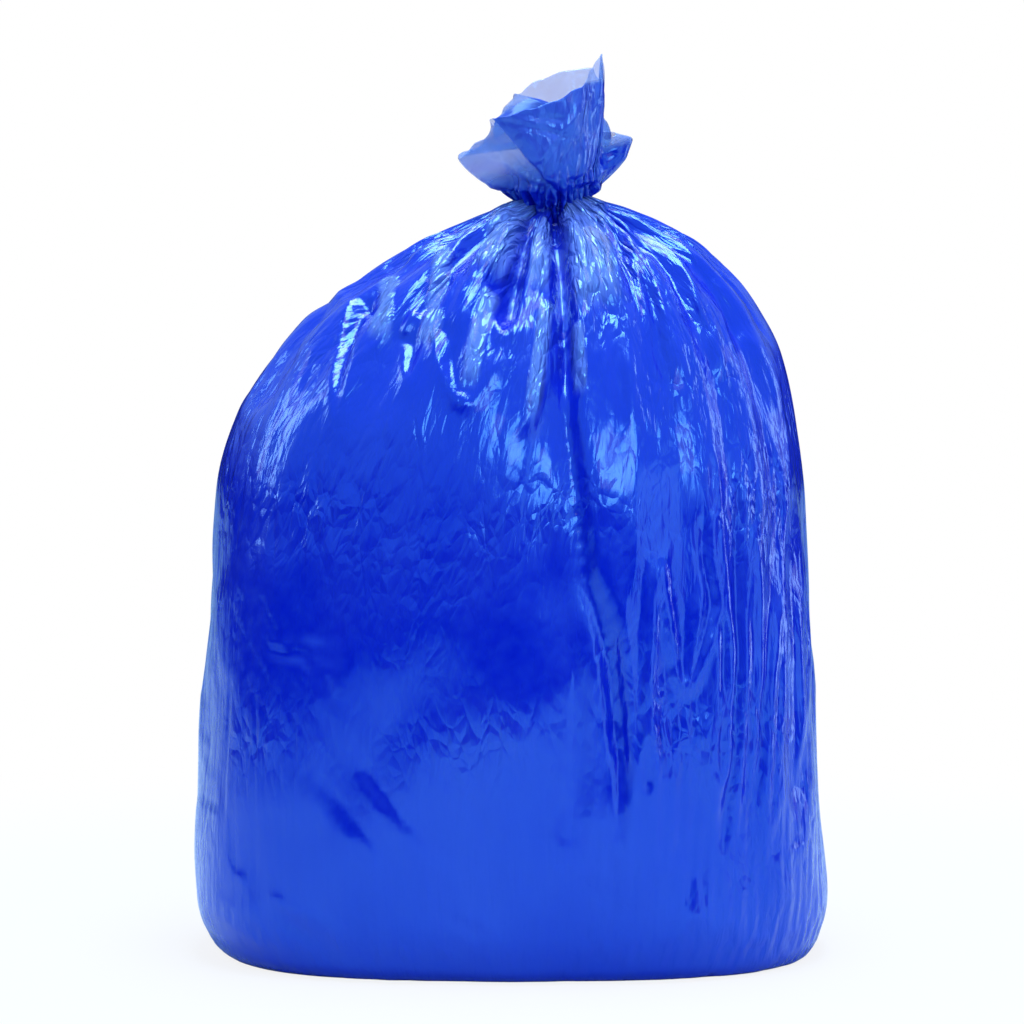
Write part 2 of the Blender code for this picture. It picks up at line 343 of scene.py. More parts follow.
def column_turns(count):
    """The direction of each column and how far round the bag it stands."""
    ring = hull[:, int(np.argmin(abs(ring_heights - COUNTING_HEIGHT)))]
    step = length_of(np.roll(ring, -1, 1) - ring)
    front = ease(-FRONT_BLEND, FRONT_BLEND, -np.sin(turns + math.pi / DIRECTIONS))
    crowding = np.concatenate([[0], np.cumsum(step * (1 + (FRONT_DENSITY - 1) * front))])
    walked = np.concatenate([[0], np.cumsum(step)])
    places = np.arange(DIRECTIONS + 1)
    at = np.interp(np.arange(count) / count * crowding[-1], crowding, places)
    return -math.pi + at / DIRECTIONS * 2 * math.pi, np.interp(at, places, walked), walked[-1]


def row_shares(count):
    """How far up its column each row stands, from 0 to 1."""
    along = np.linspace(0, 1, 400)
    spacing = WALL_SPACING + (DOME_SPACING - WALL_SPACING) * ease(*SPACING_CHANGES, along)
    rows_so_far = np.concatenate([[0], np.cumsum(0.5 / spacing[1:] + 0.5 / spacing[:-1])])
    return np.interp(np.linspace(0, rows_so_far[-1], count), rows_so_far, along)


def grid_on_hull(columns, rows):
    """Points (3, rows, columns) on the hull and the depth of the solid's pleats there, then each
    column's length, its place round the bag, and the way round the bag."""
    turn, placed, around = column_turns(columns)
    at = (turn + math.pi) / (2 * math.pi) * DIRECTIONS
    lines = read_between(hull, at)
    foot = lines[:, 0]
    inward = unit(foot[:2].mean(1)[:, None] - foot[:2])
    below = [np.stack([*(foot[:2] + inward * UNDER_BASE * back), np.full(columns, BASE_LIFT)])
             for back in np.linspace(1, 0, UNDER_ROWS + 1)[:-1]]
    lines = np.concatenate([np.stack(below, 1), lines], 1)
    pleats = np.concatenate([np.zeros((UNDER_ROWS, columns)), read_between(solid_pleats, at)])
    climbed = np.concatenate([np.zeros((1, columns)), np.cumsum(length_of(np.diff(lines, axis=1)), 0)])
    points = np.empty((3, rows, columns))
    depths = np.empty((rows, columns))
    for column in range(columns):
        stops = row_shares(rows) * climbed[-1, column]
        for axis in range(3):
            points[axis, :, column] = np.interp(stops, climbed[:, column], lines[axis, :, column])
        depths[:, column] = np.interp(stops, climbed[:, column], pleats[:, column])
    return points, depths, climbed[-1], placed, around


def outward(points):
    """The outward direction at each point of a grid that runs round and up."""
    around = np.roll(points, -1, 2) - np.roll(points, 1, 2)
    upward = np.empty_like(points)
    upward[:, 1:-1] = points[:, 2:] - points[:, :-2]
    upward[:, 0] = points[:, 1] - points[:, 0]
    upward[:, -1] = points[:, -1] - points[:, -2]
    return unit(np.cross(around, upward, axis=0))


# %% [markdown]
# ## The large folds
#
# The folds that make this bag this bag are drawn as paths in the front view: the deep
# valley under the neck, the swags that hang from the left of it like small curtains, the slits
# over the left shoulder and the long pleats of the right side. A path could also be a curve object,
# but a short list of points is easier to read and to move.
#
# Places are in millimetres as the camera sees them: right of the bag's middle, and up from where
# the bag meets the floor in the picture. A positive rise is a ridge, a negative one a valley.

# %% Folds under the neck
# rise, half width, fade at the start, fade at the end, path
NECK_FOLDS = (
    (-15, 7, 0.0, 0.35, (36, 592), (33, 572), (40, 553), (42, 518), (44, 478), (45, 420)),
    (-13, 6, 0.0, 0.3, (13, 593), (10, 580), (6, 559), (2, 537), (-2, 510), (-4, 482)),
    (-6, 13, 0.3, 0.25, (1, 548), (-2, 525), (-4, 490)),
    (4.5, 4.5, 0.1, 0.15, (-29, 548), (-21, 525), (-13, 500), (-4, 475)),
    (4, 4, 0.1, 0.15, (21, 580), (16, 548), (10, 518), (3, 494), (-2, 476)),
    (5, 9, 0.1, 0.3, (1, 588), (-9, 569), (-15, 548), (-18, 529)),
    (4, 5, 0.1, 0.2, (26, 588), (24, 565), (21, 541)),
    (5, 5, 0.05, 0.15, (68, 592), (77, 565), (80, 533), (80, 508)),
    (4, 12, 0.1, 0.1, (53, 585), (60, 553), (64, 518)),
    (2.5, 4, 0.2, 0.2, (50, 503), (63, 501), (76, 500)),
    (4, 4, 0.1, 0.2, (45, 557), (48, 525), (53, 494), (56, 462), (57, 438)),
    (-3.5, 4, 0.2, 0.2, (50, 482), (53, 462), (54, 440)),
    (4.5, 5, 0.15, 0.1, (28, 519), (25, 486), (18, 450), (12, 408)),
    (3, 3.5, 0.15, 0.2, (29, 518), (37, 478), (29, 458), (21, 427)),
)

# %% Swags to the left of the neck
SWAGS = (
    (3.2, 3.5, 0.1, 0.0, (-61, 500), (-58, 470), (-49, 444), (-39, 432)),
    (3.2, 3.5, 0.0, 0.2, (-39, 432), (-31, 431), (-21, 444), (-10, 465), (-4, 475)),
    (-4.5, 9, 0.2, 0.2, (-51, 498), (-47, 476), (-45, 454)),
    (4, 8, 0.2, 0.2, (-34, 537), (-29, 508), (-29, 476), (-33, 450)),
    (4.5, 4, 0.05, 0.1, (-9, 584), (-25, 575), (-48, 549), (-66, 518), (-85, 486)),
    (3.5, 3.5, 0.1, 0.2, (-85, 485), (-74, 500), (-60, 502)),
    (-4.5, 6, 0.2, 0.2, (-47, 537), (-61, 514), (-76, 500)),
    (3, 3.5, 0.1, 0.2, (-39, 538), (-47, 521), (-54, 503)),
    (3, 3.5, 0.1, 0.1, (-84, 482), (-82, 460), (-80, 444), (-72, 465), (-60, 468)),
    (-4, 5, 0.2, 0.3, (-74, 490), (-77, 470), (-80, 450)),
    (4.5, 13, 0.2, 0.2, (-45, 569), (-64, 553), (-87, 529), (-99, 498)),
    (3, 4, 0.1, 0.1, (-106, 476), (-101, 494), (-95, 503)),
)

# %% Slits over the left shoulder
LEFT_SHOULDER = (
    (-6.5, 4.5, 0.2, 0.1, (-77, 553), (-92, 541), (-109, 521), (-119, 508)),
    (-6, 5, 0.1, 0.4, (-111, 519), (-119, 506), (-127, 486), (-131, 460), (-133, 430)),
    (3, 3, 0.1, 0.3, (-123, 518), (-135, 478), (-139, 438), (-134, 396)),
    (2.6, 3, 0.1, 0.3, (-112, 511), (-119, 479), (-127, 442), (-131, 396)),
    (4, 14, 0.2, 0.3, (-127, 529), (-148, 498), (-168, 460)),
    (-6, 4.5, 0.2, 0.2, (-132, 524), (-143, 515), (-154, 500), (-164, 482), (-174, 463), (-202, 426)),
    (4, 4, 0.1, 0.2, (-144, 519), (-168, 494), (-188, 466), (-204, 440), (-216, 418)),
    (3, 3.5, 0.1, 0.2, (-150, 497), (-168, 470), (-184, 444)),
    (-3.5, 3.5, 0.2, 0.2, (-160, 503), (-180, 482), (-198, 454), (-211, 432)),
)

# %% Gathers of the right shoulder
RIGHT_SHOULDER = (
    (4, 3.5, 0.05, 0.1, (76, 587), (99, 579), (119, 563), (134, 541), (145, 513), (150, 500)),
    (3.5, 3, 0.15, 0.1, (128, 562), (139, 551), (151, 535), (164, 513), (170, 494)),
    (4.5, 4, 0.1, 0.2, (125, 572), (138, 561), (158, 541), (178, 519), (197, 495), (205, 473), (210, 420)),
    (-4, 4, 0.1, 0.2, (91, 580), (111, 561), (127, 537), (139, 508), (146, 490)),
    (-4, 4, 0.2, 0.2, (143, 548), (160, 524), (173, 503), (184, 478)),
    (-4.5, 4.5, 0.2, 0.2, (150, 556), (173, 530), (192, 508), (206, 482)),
    (4, 8, 0.2, 0.2, (103, 569), (111, 541), (119, 513), (123, 473), (129, 440)),
    (3.5, 3.5, 0.1, 0.2, (85, 580), (92, 565), (97, 539), (105, 510), (111, 477)),
    (3, 3, 0.2, 0.2, (129, 499), (139, 473), (149, 447)),
    (3, 3, 0.2, 0.2, (154, 494), (162, 470), (166, 450)),
    (3, 3, 0.2, 0.2, (182, 490), (192, 476), (203, 460)),
    (-3.5, 5, 0.2, 0.3, (103, 537), (111, 502), (117, 466), (120, 438)),
    (2.5, 3, 0.2, 0.2, (68, 494), (73, 462), (77, 430), (76, 398)),
    (2.5, 3, 0.2, 0.2, (88, 478), (93, 438), (90, 406)),
)

# %% Long pleats of the wall
WALL_PLEATS = (
    (-9.5, 7, 0.2, 0.3, (44, 478), (45, 420), (53, 346), (59, 295), (69, 263), (78, 227),
     (87, 135), (90, 80)),
    (4, 3.5, 0.2, 0.2, (150, 442), (154, 366), (155, 322), (162, 287), (165, 247), (161, 151), (154, 96)),
    (3.5, 3, 0.2, 0.2, (163, 438), (181, 355), (183, 311), (182, 267), (179, 193), (170, 72)),
    (4.5, 4, 0.2, 0.2, (210, 438), (214, 406), (213, 355), (212, 296), (209, 247), (205, 193), (192, 56)),
    (3, 3, 0.2, 0.1, (195, 438), (201, 414), (208, 382), (213, 357)),
    (3.5, 3.5, 0.2, 0.2, (224, 422), (228, 361), (229, 282), (227, 193), (222, 119)),
    (3, 3, 0.2, 0.2, (189, 358), (190, 311), (192, 247), (190, 183), (186, 119)),
    (-4.5, 4.5, 0.2, 0.2, (173, 358), (175, 311), (176, 247), (173, 183), (163, 80)),
    (-3.5, 4, 0.2, 0.2, (150, 358), (150, 311), (155, 279), (157, 239)),
    (-3.5, 4, 0.2, 0.2, (201, 358), (201, 295), (198, 231), (193, 167)),
    (3.5, 3, 0.1, 0.05, (104, 127), (105, 185), (107, 267), (111, 308), (115, 314)),
    (3.5, 3, 0.05, 0.1, (115, 314), (119, 282), (127, 225), (135, 205)),
    (3, 3, 0.1, 0.2, (135, 205), (141, 247), (145, 281), (148, 303)),
    (3, 3, 0.1, 0.2, (139, 207), (150, 243), (160, 267), (165, 243), (162, 199)),
    (-2.5, 8, 0.2, 0.2, (119, 247), (121, 207), (125, 167)),
    (3.5, 3.5, 0.2, 0.2, (80, 311), (85, 279), (88, 239), (92, 191), (92, 135), (91, 80)),
    (3, 4, 0.2, 0.2, (29, 414), (33, 366), (36, 326), (29, 295)),
    (2.5, 3, 0.2, 0.2, (93, 358), (96, 311), (94, 279)),
)

# %% Soft folds low down, and the puckered corners of the base
LOW_FOLDS = (
    (-0.9, 3.2, 0.15, 0.35, (-167, 162), (-124, 118), (-74, 57)),
    (0.7, 5, 0.3, 0.4, (-176, 150), (-136, 108), (-92, 58)),
    (-1.0, 3.2, 0.15, 0.35, (-122, 162), (-78, 112), (-27, 61)),
    (0.7, 5, 0.3, 0.4, (-132, 156), (-90, 108), (-44, 62)),
    (-1.0, 3.5, 0.15, 0.35, (-62, 158), (-30, 122), (1, 81)),
    (0.6, 7, 0.3, 0.4, (21, 140), (36, 100), (48, 61)),
    (-0.6, 5, 0.3, 0.4, (2, 150), (20, 100), (34, 60)),
    (-1.5, 4, 0.3, 0.4, (-55, 42), (-36, 31), (-12, 22)),
    (1.4, 4, 0.1, 0.3, (-193, 54), (-150, 36), (-110, 10)),
    (-2.0, 4.5, 0.2, 0.4, (-181, 36), (-150, 18), (-122, 2)),
    (1.2, 4, 0.1, 0.2, (-243, 88), (-226, 74), (-202, 58)),
    (1.2, 4, 0.1, 0.2, (-245, 50), (-222, 38), (-184, 16)),
    (-1.2, 3.5, 0.1, 0.2, (-240, 30), (-215, 18), (-190, 4)),
    (0.8, 4, 0.1, 0.4, (248, 52), (222, 48), (190, 38)),
    (0.7, 3.5, 0.1, 0.2, (244, 64), (222, 62), (198, 56)),
    (1.2, 3, 0.2, 0.2, (-222, 287), (-204, 247), (-180, 207)),
    (1.2, 3, 0.2, 0.2, (-208, 311), (-188, 271), (-168, 235)),
    (1.2, 3, 0.2, 0.2, (-217, 247), (-198, 207), (-176, 175)),
)

LARGE_FOLDS = NECK_FOLDS + SWAGS + LEFT_SHOULDER + RIGHT_SHOULDER + WALL_PLEATS + LOW_FOLDS
print(len(LARGE_FOLDS), "folds drawn by hand")

# %% [markdown]
# ## Crumpled patches with a painted highlight
#
# Where thin film was squeezed in the hand it is covered in tiny creases, and such a place is slightly
# raised. There are a few of them in the gathers under the neck. Their paler blue is a painted highlight:
# the colour there is lightened to stand for the shine of the lamps on the crumples. They could be
# painted on a map, but a short path with a half width says all that is needed, and the same distance
# to a path serves these patches and the folds.

# %% Places where the film is crumpled, with a paler blue painted on as a highlight
# half width, path
CRUMPLED_HIGHLIGHT_PATCHES = (
    (11, (-1, 588), (-10, 561), (-21, 533)),
    (15, (57, 588), (61, 557), (65, 526), (71, 503)),
    (7, (26, 575), (23, 548), (21, 518)),
    (6, (-17, 517), (-27, 478), (-34, 440)),
    (5, (27, 510), (21, 462), (15, 414)),
    (4, (51, 493), (55, 438)),
    (7, (-60, 500), (-66, 478)),
    (7, (-97, 530), (-99, 500), (-102, 478)),
    (5, (-52, 549), (-60, 515), (-64, 490)),
)
print(len(CRUMPLED_HIGHLIGHT_PATCHES), "pale patches")


# %% From a drawn path to a fold
# How fast a fold falls away beside its path, how round its crest is, and where it ends, in half widths
FOLD_FALL = 0.9
FOLD_CREST = 1.25
FOLD_REACH = 5


def height_in_view(points):
    """How high points stand as the camera sees them."""
    return points[2] * math.cos(LOOKS_DOWN) + points[1] * math.sin(LOOKS_DOWN)


def nearest_on(path, across, height):
    """How far points seen at (across, height) are from a path, and how far along it, from 0 to 1."""
    path = np.array(path) * MM
    nearest = np.full(across.shape, np.inf)
    passed = np.zeros(across.shape)
    walked = 0.0
    for start, end in zip(path, path[1:]):
        way = end - start
        size = math.hypot(*way)
        share = np.clip(((across - start[0]) * way[0] + (height - start[1]) * way[1]) / size**2, 0, 1)
        gap = np.hypot(across - start[0] - share * way[0], height - start[1] - share * way[1])
        closer = gap < nearest
        nearest = np.where(closer, gap, nearest)
        passed = np.where(closer, walked + share * size, passed)
        walked += size
    return nearest, passed / walked


def fold_along(path, half_width, start_fade, end_fade, across, height):
    """1 on the path and less beside it, for points seen at (across, height)."""
    nearest, along = nearest_on(path, across, height)
    taper = 1.0
    if start_fade:
        taper = ease(0, start_fade, along)
    if end_fade:
        taper = taper * ease(0, end_fade, 1 - along)
    spread = nearest / (half_width * MM)
    return taper * np.exp(-FOLD_FALL * spread**FOLD_CREST) * (spread < FOLD_REACH)


def add_folds(rise, folds, facing, across, height, thinnest=0):
    """Adds drawn folds to the film's rise, as far as it faces the camera."""
    for fold_rise, half_width, start_fade, end_fade, *path in folds:
        if half_width * MM > thinnest:
            rise += facing * fold_rise * MM * fold_along(
                path, half_width, start_fade, end_fade, across, height)


# %% [markdown]
# ## Film that can't stretch
#
# Blender's own cloth could hang this film, but it takes minutes and slides off its design. The same
# idea in a few lines is enough: remember how long each edge of the grid is on the folded form, make
# it a trace longer, and push the points about until every edge has its length again. The spare
# length has nowhere to go but out or in, and that is what makes the small folds look right: they
# run into the large ones, stop at tight places and cross the smooth panel only as faint creases.
#
# The contents are the inner limit, and a slow pull towards the drawn form keeps the large folds.

# %% Edges that keep their length
def pull_together(first, second, rest, stretch, press, free_first, free_second):
    """Moves both ends of many edges towards the edges' own lengths."""
    way = second - first
    size = np.sqrt(np.einsum("kij,kij->ij", way, way)) + 1e-9
    error = (size - rest) / size
    way *= 0.5 * np.where(error > 0, stretch * error, press * error)
    first += way * free_first
    second -= way * free_second


def settle_round(film, free, rest, stretch, press):
    """Edges round the bag, every other one at a time."""
    for odd in (0, 1):
        film[:] = np.roll(film, -odd, 2)
        loose, length = np.roll(free, -odd, 1), np.roll(rest, -odd, 1)
        pull_together(film[:, :, 0::2], film[:, :, 1::2], length[:, 0::2], stretch, press,
                      loose[:, 0::2], loose[:, 1::2])
        film[:] = np.roll(film, odd, 2)


def settle_up(film, free, rest, stretch, press):
    """Edges up the bag, every other one at a time."""
    for odd in (0, 1):
        end = odd + (film.shape[1] - odd) // 2 * 2
        low, high = slice(odd, end, 2), slice(odd + 1, end, 2)
        pull_together(film[:, low], film[:, high], rest[low], stretch, press, free[low], free[high])


def settle_across(film, free, rests, stretch, press):
    """Both diagonals of each cell, which keep the film from shearing."""
    for odd in (0, 1):
        end = odd + (film.shape[1] - odd) // 2 * 2
        low, high = slice(odd, end, 2), slice(odd + 1, end, 2)
        for side, rest in rests.items():
            upper = np.roll(film[:, high], -side, 2)
            pull_together(film[:, low], upper, rest[low], stretch, press,
                          free[low], np.roll(free[high], -side, 1))
            film[:, high] = np.roll(upper, side, 2)


def settle_bends(film, free, rest_round, rest_up, stiffness):
    """Points two apart push away from each other: the film's own springiness."""
    for odd in (0, 2):
        film[:] = np.roll(film, -odd, 2)
        loose, length = np.roll(free, -odd, 1), np.roll(rest_round, -odd, 1)
        for first in (0, 1):
            pull_together(film[:, :, first::4], film[:, :, first + 2::4],
                          length[:, first::4] + length[:, first + 1::4], 0, stiffness,
                          loose[:, first::4], loose[:, first + 2::4])
        film[:] = np.roll(film, odd, 2)
    rows = film.shape[1]
    for first in (0, 1, 2, 3):
        end = first + (rows - first) // 4 * 4
        low, middle, high = (slice(first + step, end, 4) for step in (0, 1, 2))
        pull_together(film[:, low], film[:, high], rest_up[low] + rest_up[middle], 0, stiffness,
                      free[low], free[high])


# %% Edge lengths of a drawn form
def edge_lengths(drawn, spare_round, spare_up):
    """Lengths of the edges round, up and across on the drawn form, each a trace longer."""
    round_edges = length_of(np.roll(drawn, -1, 2) - drawn) * (1 + spare_round)
    up_edges = length_of(np.diff(drawn, axis=1)) * (1 + (spare_up[1:] + spare_up[:-1]) / 2)
    spare = 0.5 * (spare_round[:-1] + spare_up[:-1])
    across = {side: length_of(np.roll(drawn[:, 1:], -side, 2) - drawn[:, :-1]) * (1 + spare)
              for side in (-1, 1)}
    return round_edges, up_edges, across


# %% One settling
HOLD_EVERY = 6
HOLD_BLUR = 4
GRAVITY = 0.001 * MM
MOMENTUM = 0.9
FLOOR_GAP = 0.3 * MM
# How much of an edge's error one pass takes away, when the edge is too long and when it is too short
EDGE_PULLS = (1.0, 0.9)
CROSS_PULLS = (0.6, 0.5)
# Film that touches its outer limit or its load gives way and slides by these shares
OUTER_GIVE = 0.5
GRIP = 0.5


def settle(film, drawn, free, spare_round, spare_up, turns_of_work, hold, bend, limit=None):
    """Lets the film find its small folds round the drawn form. limit holds the hull and how far
    the film may go in and out of it."""
    film, drawn, free = (values.astype(np.float32) for values in (film, drawn, free))
    round_edges, up_edges, across = edge_lengths(drawn, spare_round, spare_up)
    round_edges, up_edges = round_edges.astype(np.float32), up_edges.astype(np.float32)
    across = {side: lengths.astype(np.float32) for side, lengths in across.items()}
    away = None if limit is None else outward(limit[0]).astype(np.float32)
    before = film.copy()
    for turn in range(turns_of_work):
        step = (film - before) * MOMENTUM
        before = film.copy()
        film += step * free
        film[2] -= GRAVITY * free
        if turn % HOLD_EVERY == 0:
            drift = drawn - film
            for _ in range(HOLD_BLUR):
                drift = 0.25 * (np.roll(drift, 1, 2) + np.roll(drift, -1, 2)) + 0.5 * drift
                drift[:, 1:-1] = 0.25 * (drift[:, 2:] + drift[:, :-2]) + 0.5 * drift[:, 1:-1]
            drift *= hold * free
            film += drift
            before += drift
        settle_round(film, free, round_edges, *EDGE_PULLS)
        settle_up(film, free, up_edges, *EDGE_PULLS)
        settle_across(film, free, across, *CROSS_PULLS)
        settle_bends(film, free, round_edges, up_edges, bend)
        if limit is not None:
            hull_points, inward_room, outward_room = limit
            out = ((film - hull_points) * away).sum(0)
            push = np.where(out < -inward_room, -inward_room - out, 0)
            push += np.where(out > outward_room, (outward_room - out) * OUTER_GIVE, 0)
            film += away * (push * free)
            slip = (before - film) * ((push != 0) * free * GRIP)
            film += slip - away * (slip * away).sum(0)
        np.maximum(film[2], FLOOR_GAP, out=film[2])
    return film


# %% [markdown]
# ## Lay the film round the bag
#
# Coarse to fine: on a coarse grid the long folds form in a moment, on the finest one only the
# small creases are left to form. Before each stage the form is drawn afresh, with every fold that
# the grid is fine enough to carry.
#
# How much spare film there is differs from place to place. It is a few parts in a thousand on the
# calm front panel, where the load pulls the film tight, more on the right side, and most where the
# film is gathered.

# %% Where the film is tight and where it is loose
# Each pair says where a region starts and where it is whole: metres of film up to the neck or from
# the base, and places of the calm panel
DOME_EDGE = (0.42, 0.33)
FOOT_EDGE = (0.11, 0.05)
CALM_RIGHT = (60 * MM, 20 * MM)
CALM_LEFT = (-245 * MM, -215 * MM)
CALM_TOP = (400 * MM, 350 * MM)
CALM_BOTTOM = (30 * MM, 90 * MM)
# How far down from the neck the gathers and the knot are felt, in metres of film
GATHER_REACH = 0.13
KNOT_REACH = 0.03


def crumpled_highlight_patches(points):
    """1 on the crumpled patches, whose paler blue is a painted highlight, and 0 beside them."""
    seen_height = height_in_view(points)
    pale = np.zeros(points.shape[1:])
    for half_width, *path in CRUMPLED_HIGHLIGHT_PATCHES:
        nearest, along = nearest_on(path, points[0], seen_height)
        pale = np.maximum(pale, ease(1.35, 0.75, nearest / (half_width * MM)) * ease(0, 0.3, 1 - along))
    return pale


def regions(points, lengths, climbed):
    """Masks from 0 to 1 for the parts of the bag that behave differently."""
    to_neck = lengths - climbed
    turn = np.degrees(np.arctan2(points[1], points[0]))
    facing = ease(0.05, -0.1, outward(points)[1])
    dome = ease(*DOME_EDGE, to_neck)
    right = ease(-85, -65, turn) * (1 - ease(40, 80, turn))
    calm = facing * ease(*CALM_RIGHT, points[0]) * ease(*CALM_LEFT, points[0])
    calm = calm * ease(*CALM_TOP, points[2]) * ease(*CALM_BOTTOM, points[2])
    return {
        "everywhere": np.ones(points.shape[1:]), "facing": facing, "dome": dome,
        "right": right * (1 - dome), "calm": calm, "gathered": np.exp(-to_neck / GATHER_REACH),
        "neck": np.exp(-to_neck / KNOT_REACH), "foot": ease(*FOOT_EDGE, climbed),
        # pale marks the crumpled patches, whose colour is lightened as a painted highlight
        "pale": facing * crumpled_highlight_patches(points),
    }


def by_place(part, shares):
    """A value that changes from place to place: the sum of what each region adds to it."""
    total = 0
    for name, share in shares.items():
        total = total + share * part[name]
    return total


# %% The form before it settles
# A fold is drawn once its half width is more than this share of a grid cell
FINEST_FOLD = 0.75
# Low in front, where the film lies calm, only this share of the solid's own pleats is kept
PLEATS_LEFT = 0.1
LOW_FRONT_TOP = (340 * MM, 220 * MM)
LOW_FRONT_RIGHT = (60 * MM, 40 * MM)
PLEATS_START = (20 * MM, 170 * MM)
# The unseen sides carry pleats by chance, and everything carries small creases
FOLD_SEED = 5
HIGHEST_PLEAT = 3
LEAST_UNSEEN = 0.2
PLEAT_HEIGHT = {"gathered": 0.8, "dome": 0.25, "right": 0.15}
CREASE_HEIGHT = {"gathered": 0.5, "dome": 0.15, "everywhere": 0.05}
PALE_HEIGHT = 2.5 * MM
DENT_HEIGHT = 0.45 * MM
SOFT_HEIGHT = 1.5 * MM
CALM_DENTS = 0.4
DENTS_START = (0, 60 * MM)
# Waves, each as turns round the bag, most turns up a metre of it, and how many are laid over each other
PLEAT_WAVES = ((12, 26), 1.2, 14)
CREASE_WAVES = ((30, 60), 4.0, 14)
DENT_WAVES = ((4, 34), 16.0, 40)
SOFT_WAVES = ((3, 10), 7.0, 12)


def ripples(round_share, climbed, chance, cycles, up, count):
    """Smooth random waves that run mostly up the bag."""
    total = 0
    for _ in range(count):
        turns_round = chance.integers(*cycles) * chance.choice([-1, 1])
        phase = chance.uniform(0, 2 * math.pi)
        slant = chance.uniform(-up, up)
        total = total + np.sin(2 * math.pi * (turns_round * round_share + slant * climbed) + phase)
    return total / math.sqrt(count / 2)


def drawn_form(points, depths, climbed, placed, around, part):
    """The hull with all the folds that this grid can carry."""
    cell = around / points.shape[2]
    level = abs(outward(points)[2])
    low_front = part["facing"] * ease(*LOW_FRONT_TOP, points[2]) * ease(*LOW_FRONT_RIGHT, points[0])
    rise = depths * np.sqrt(1 - level**2) * (1 - (1 - PLEATS_LEFT) * low_front)
    rise *= ease(*PLEATS_START, points[2])
    add_folds(rise, LARGE_FOLDS, part["facing"], points[0], height_in_view(points), cell * FINEST_FOLD)
    chance = np.random.default_rng(FOLD_SEED)
    round_share = placed / around + 0 * climbed
    pleats = ripples(round_share, climbed, chance, *PLEAT_WAVES)
    creases = ripples(round_share, climbed, chance, *CREASE_WAVES)
    unseen = np.maximum(1 - part["facing"], LEAST_UNSEEN)
    rise += unseen * pleats * by_place(part, PLEAT_HEIGHT) * HIGHEST_PLEAT * MM
    rise += creases * by_place(part, CREASE_HEIGHT) * MM
    rise += PALE_HEIGHT * part["pale"] * part["gathered"]
    dents = ripples(round_share, climbed, chance, *DENT_WAVES)
    soft = ripples(round_share, climbed, chance, *SOFT_WAVES)
    on_wall = (1 - part["dome"]) * ease(*DENTS_START, points[2])
    rise += (dents * DENT_HEIGHT * (1 - CALM_DENTS * part["calm"]) + soft * SOFT_HEIGHT) * on_wall
    return points + outward(points) * rise


# %% Settle the film in three stages
# columns, rows, turns of work
STAGES = ((112, 56, 260), (224, 112, 220), (448, 215, 130))
PINNED_UNDER = 38 * MM
HOLD = 0.12
STIFFNESS = 0.06
# The load holds the film tight, so it has less spare: this much less on the calm panel and on the dome
TIGHT_CALM = 0.8
TIGHT_DOME = 0.5
LEAST_ROOM = 0.5 * MM
# Spare film as a share of its length, and the room that it has to move in, in millimetres
SPARE_ROUND = {"everywhere": 0.002, "right": 0.010, "dome": 0.010, "gathered": 0.02, "neck": 0.12,
               "foot": 0.004}
SPARE_UP = {"everywhere": 0.0008, "dome": 0.003, "gathered": 0.006}
INWARD_ROOM = {"everywhere": 2.5, "right": 3, "dome": 3, "gathered": 11}
OUTWARD_ROOM = {"everywhere": 1.5, "dome": 2, "right": 2}


def carried_over(film, coarse_drawn, drawn):
    """What has settled on a coarse grid, moved to a form drawn on a grid with twice the columns."""
    rows, columns = drawn.shape[1:]
    change = np.empty((3, film.shape[1], columns))
    change[:, :, 0::2] = film - coarse_drawn
    change[:, :, 1::2] = 0.5 * (change[:, :, 0::2] + np.roll(change[:, :, 0::2], -1, 2))
    at = np.linspace(0, film.shape[1] - 1, rows)
    low = np.minimum(at.astype(int), film.shape[1] - 2)
    share = (at - low)[None, :, None]
    return drawn + change[:, low] * (1 - share) + change[:, low + 1] * share


film = None
for columns, rows, turns_of_work in STAGES:
    points, depths, lengths, placed, around = grid_on_hull(columns, rows)
    climbed = row_shares(rows)[:, None] * lengths
    part = regions(points, lengths, climbed)
    drawn = drawn_form(points, depths, climbed, placed, around, part)
    film = drawn.copy() if film is None else carried_over(film, coarse_drawn, drawn)
    coarse_drawn = drawn
    free = np.where(climbed < PINNED_UNDER, 0.0, 1.0)
    free[-1] = 0
    loose = (1 - TIGHT_CALM * part["calm"]) * (1 - TIGHT_DOME * part["facing"] * part["dome"])
    inward_room = by_place(part, INWARD_ROOM) * MM
    inward_room = np.maximum(inward_room, LEAST_ROOM - ((drawn - points) * outward(points)).sum(0))
    film = settle(film, drawn, free, loose * by_place(part, SPARE_ROUND),
                  loose * by_place(part, SPARE_UP), turns_of_work, HOLD, STIFFNESS,
                  limit=(points, inward_room, by_place(part, OUTWARD_ROOM) * MM))
    print(columns, "by", rows, "points settled after", round(time.time() - started, 1), "s")

# %% [markdown]
# ## Crisp creases
#
# The settled film is still a little like rubber: its folds are round. Real polythene is stiff for
# its thickness, so it stays flat and turns sharply at a crease. A filter does that. It smooths the
# film's slopes, but only between points whose slopes are already alike, and then finds the heights
# that have these slopes. Flat facets grow, and the bends between them tighten.

# %% Flatten facets and sharpen creases
ALIKE_ON_WALL = 0.03
ALIKE_ON_DOME = 0.18
CRISP_ROUNDS = 9
HEIGHT_ROUNDS = 14
KEPT_RISE = 0.05
NEARBY = (-2, -1, 0, 1, 2)


def shifted(values, up, round_steps):
    """A grid moved by whole cells, with its first and last rows repeated."""
    rows = np.clip(np.arange(len(values)) + up, 0, len(values) - 1)
    return np.roll(values[rows], -round_steps, 1)


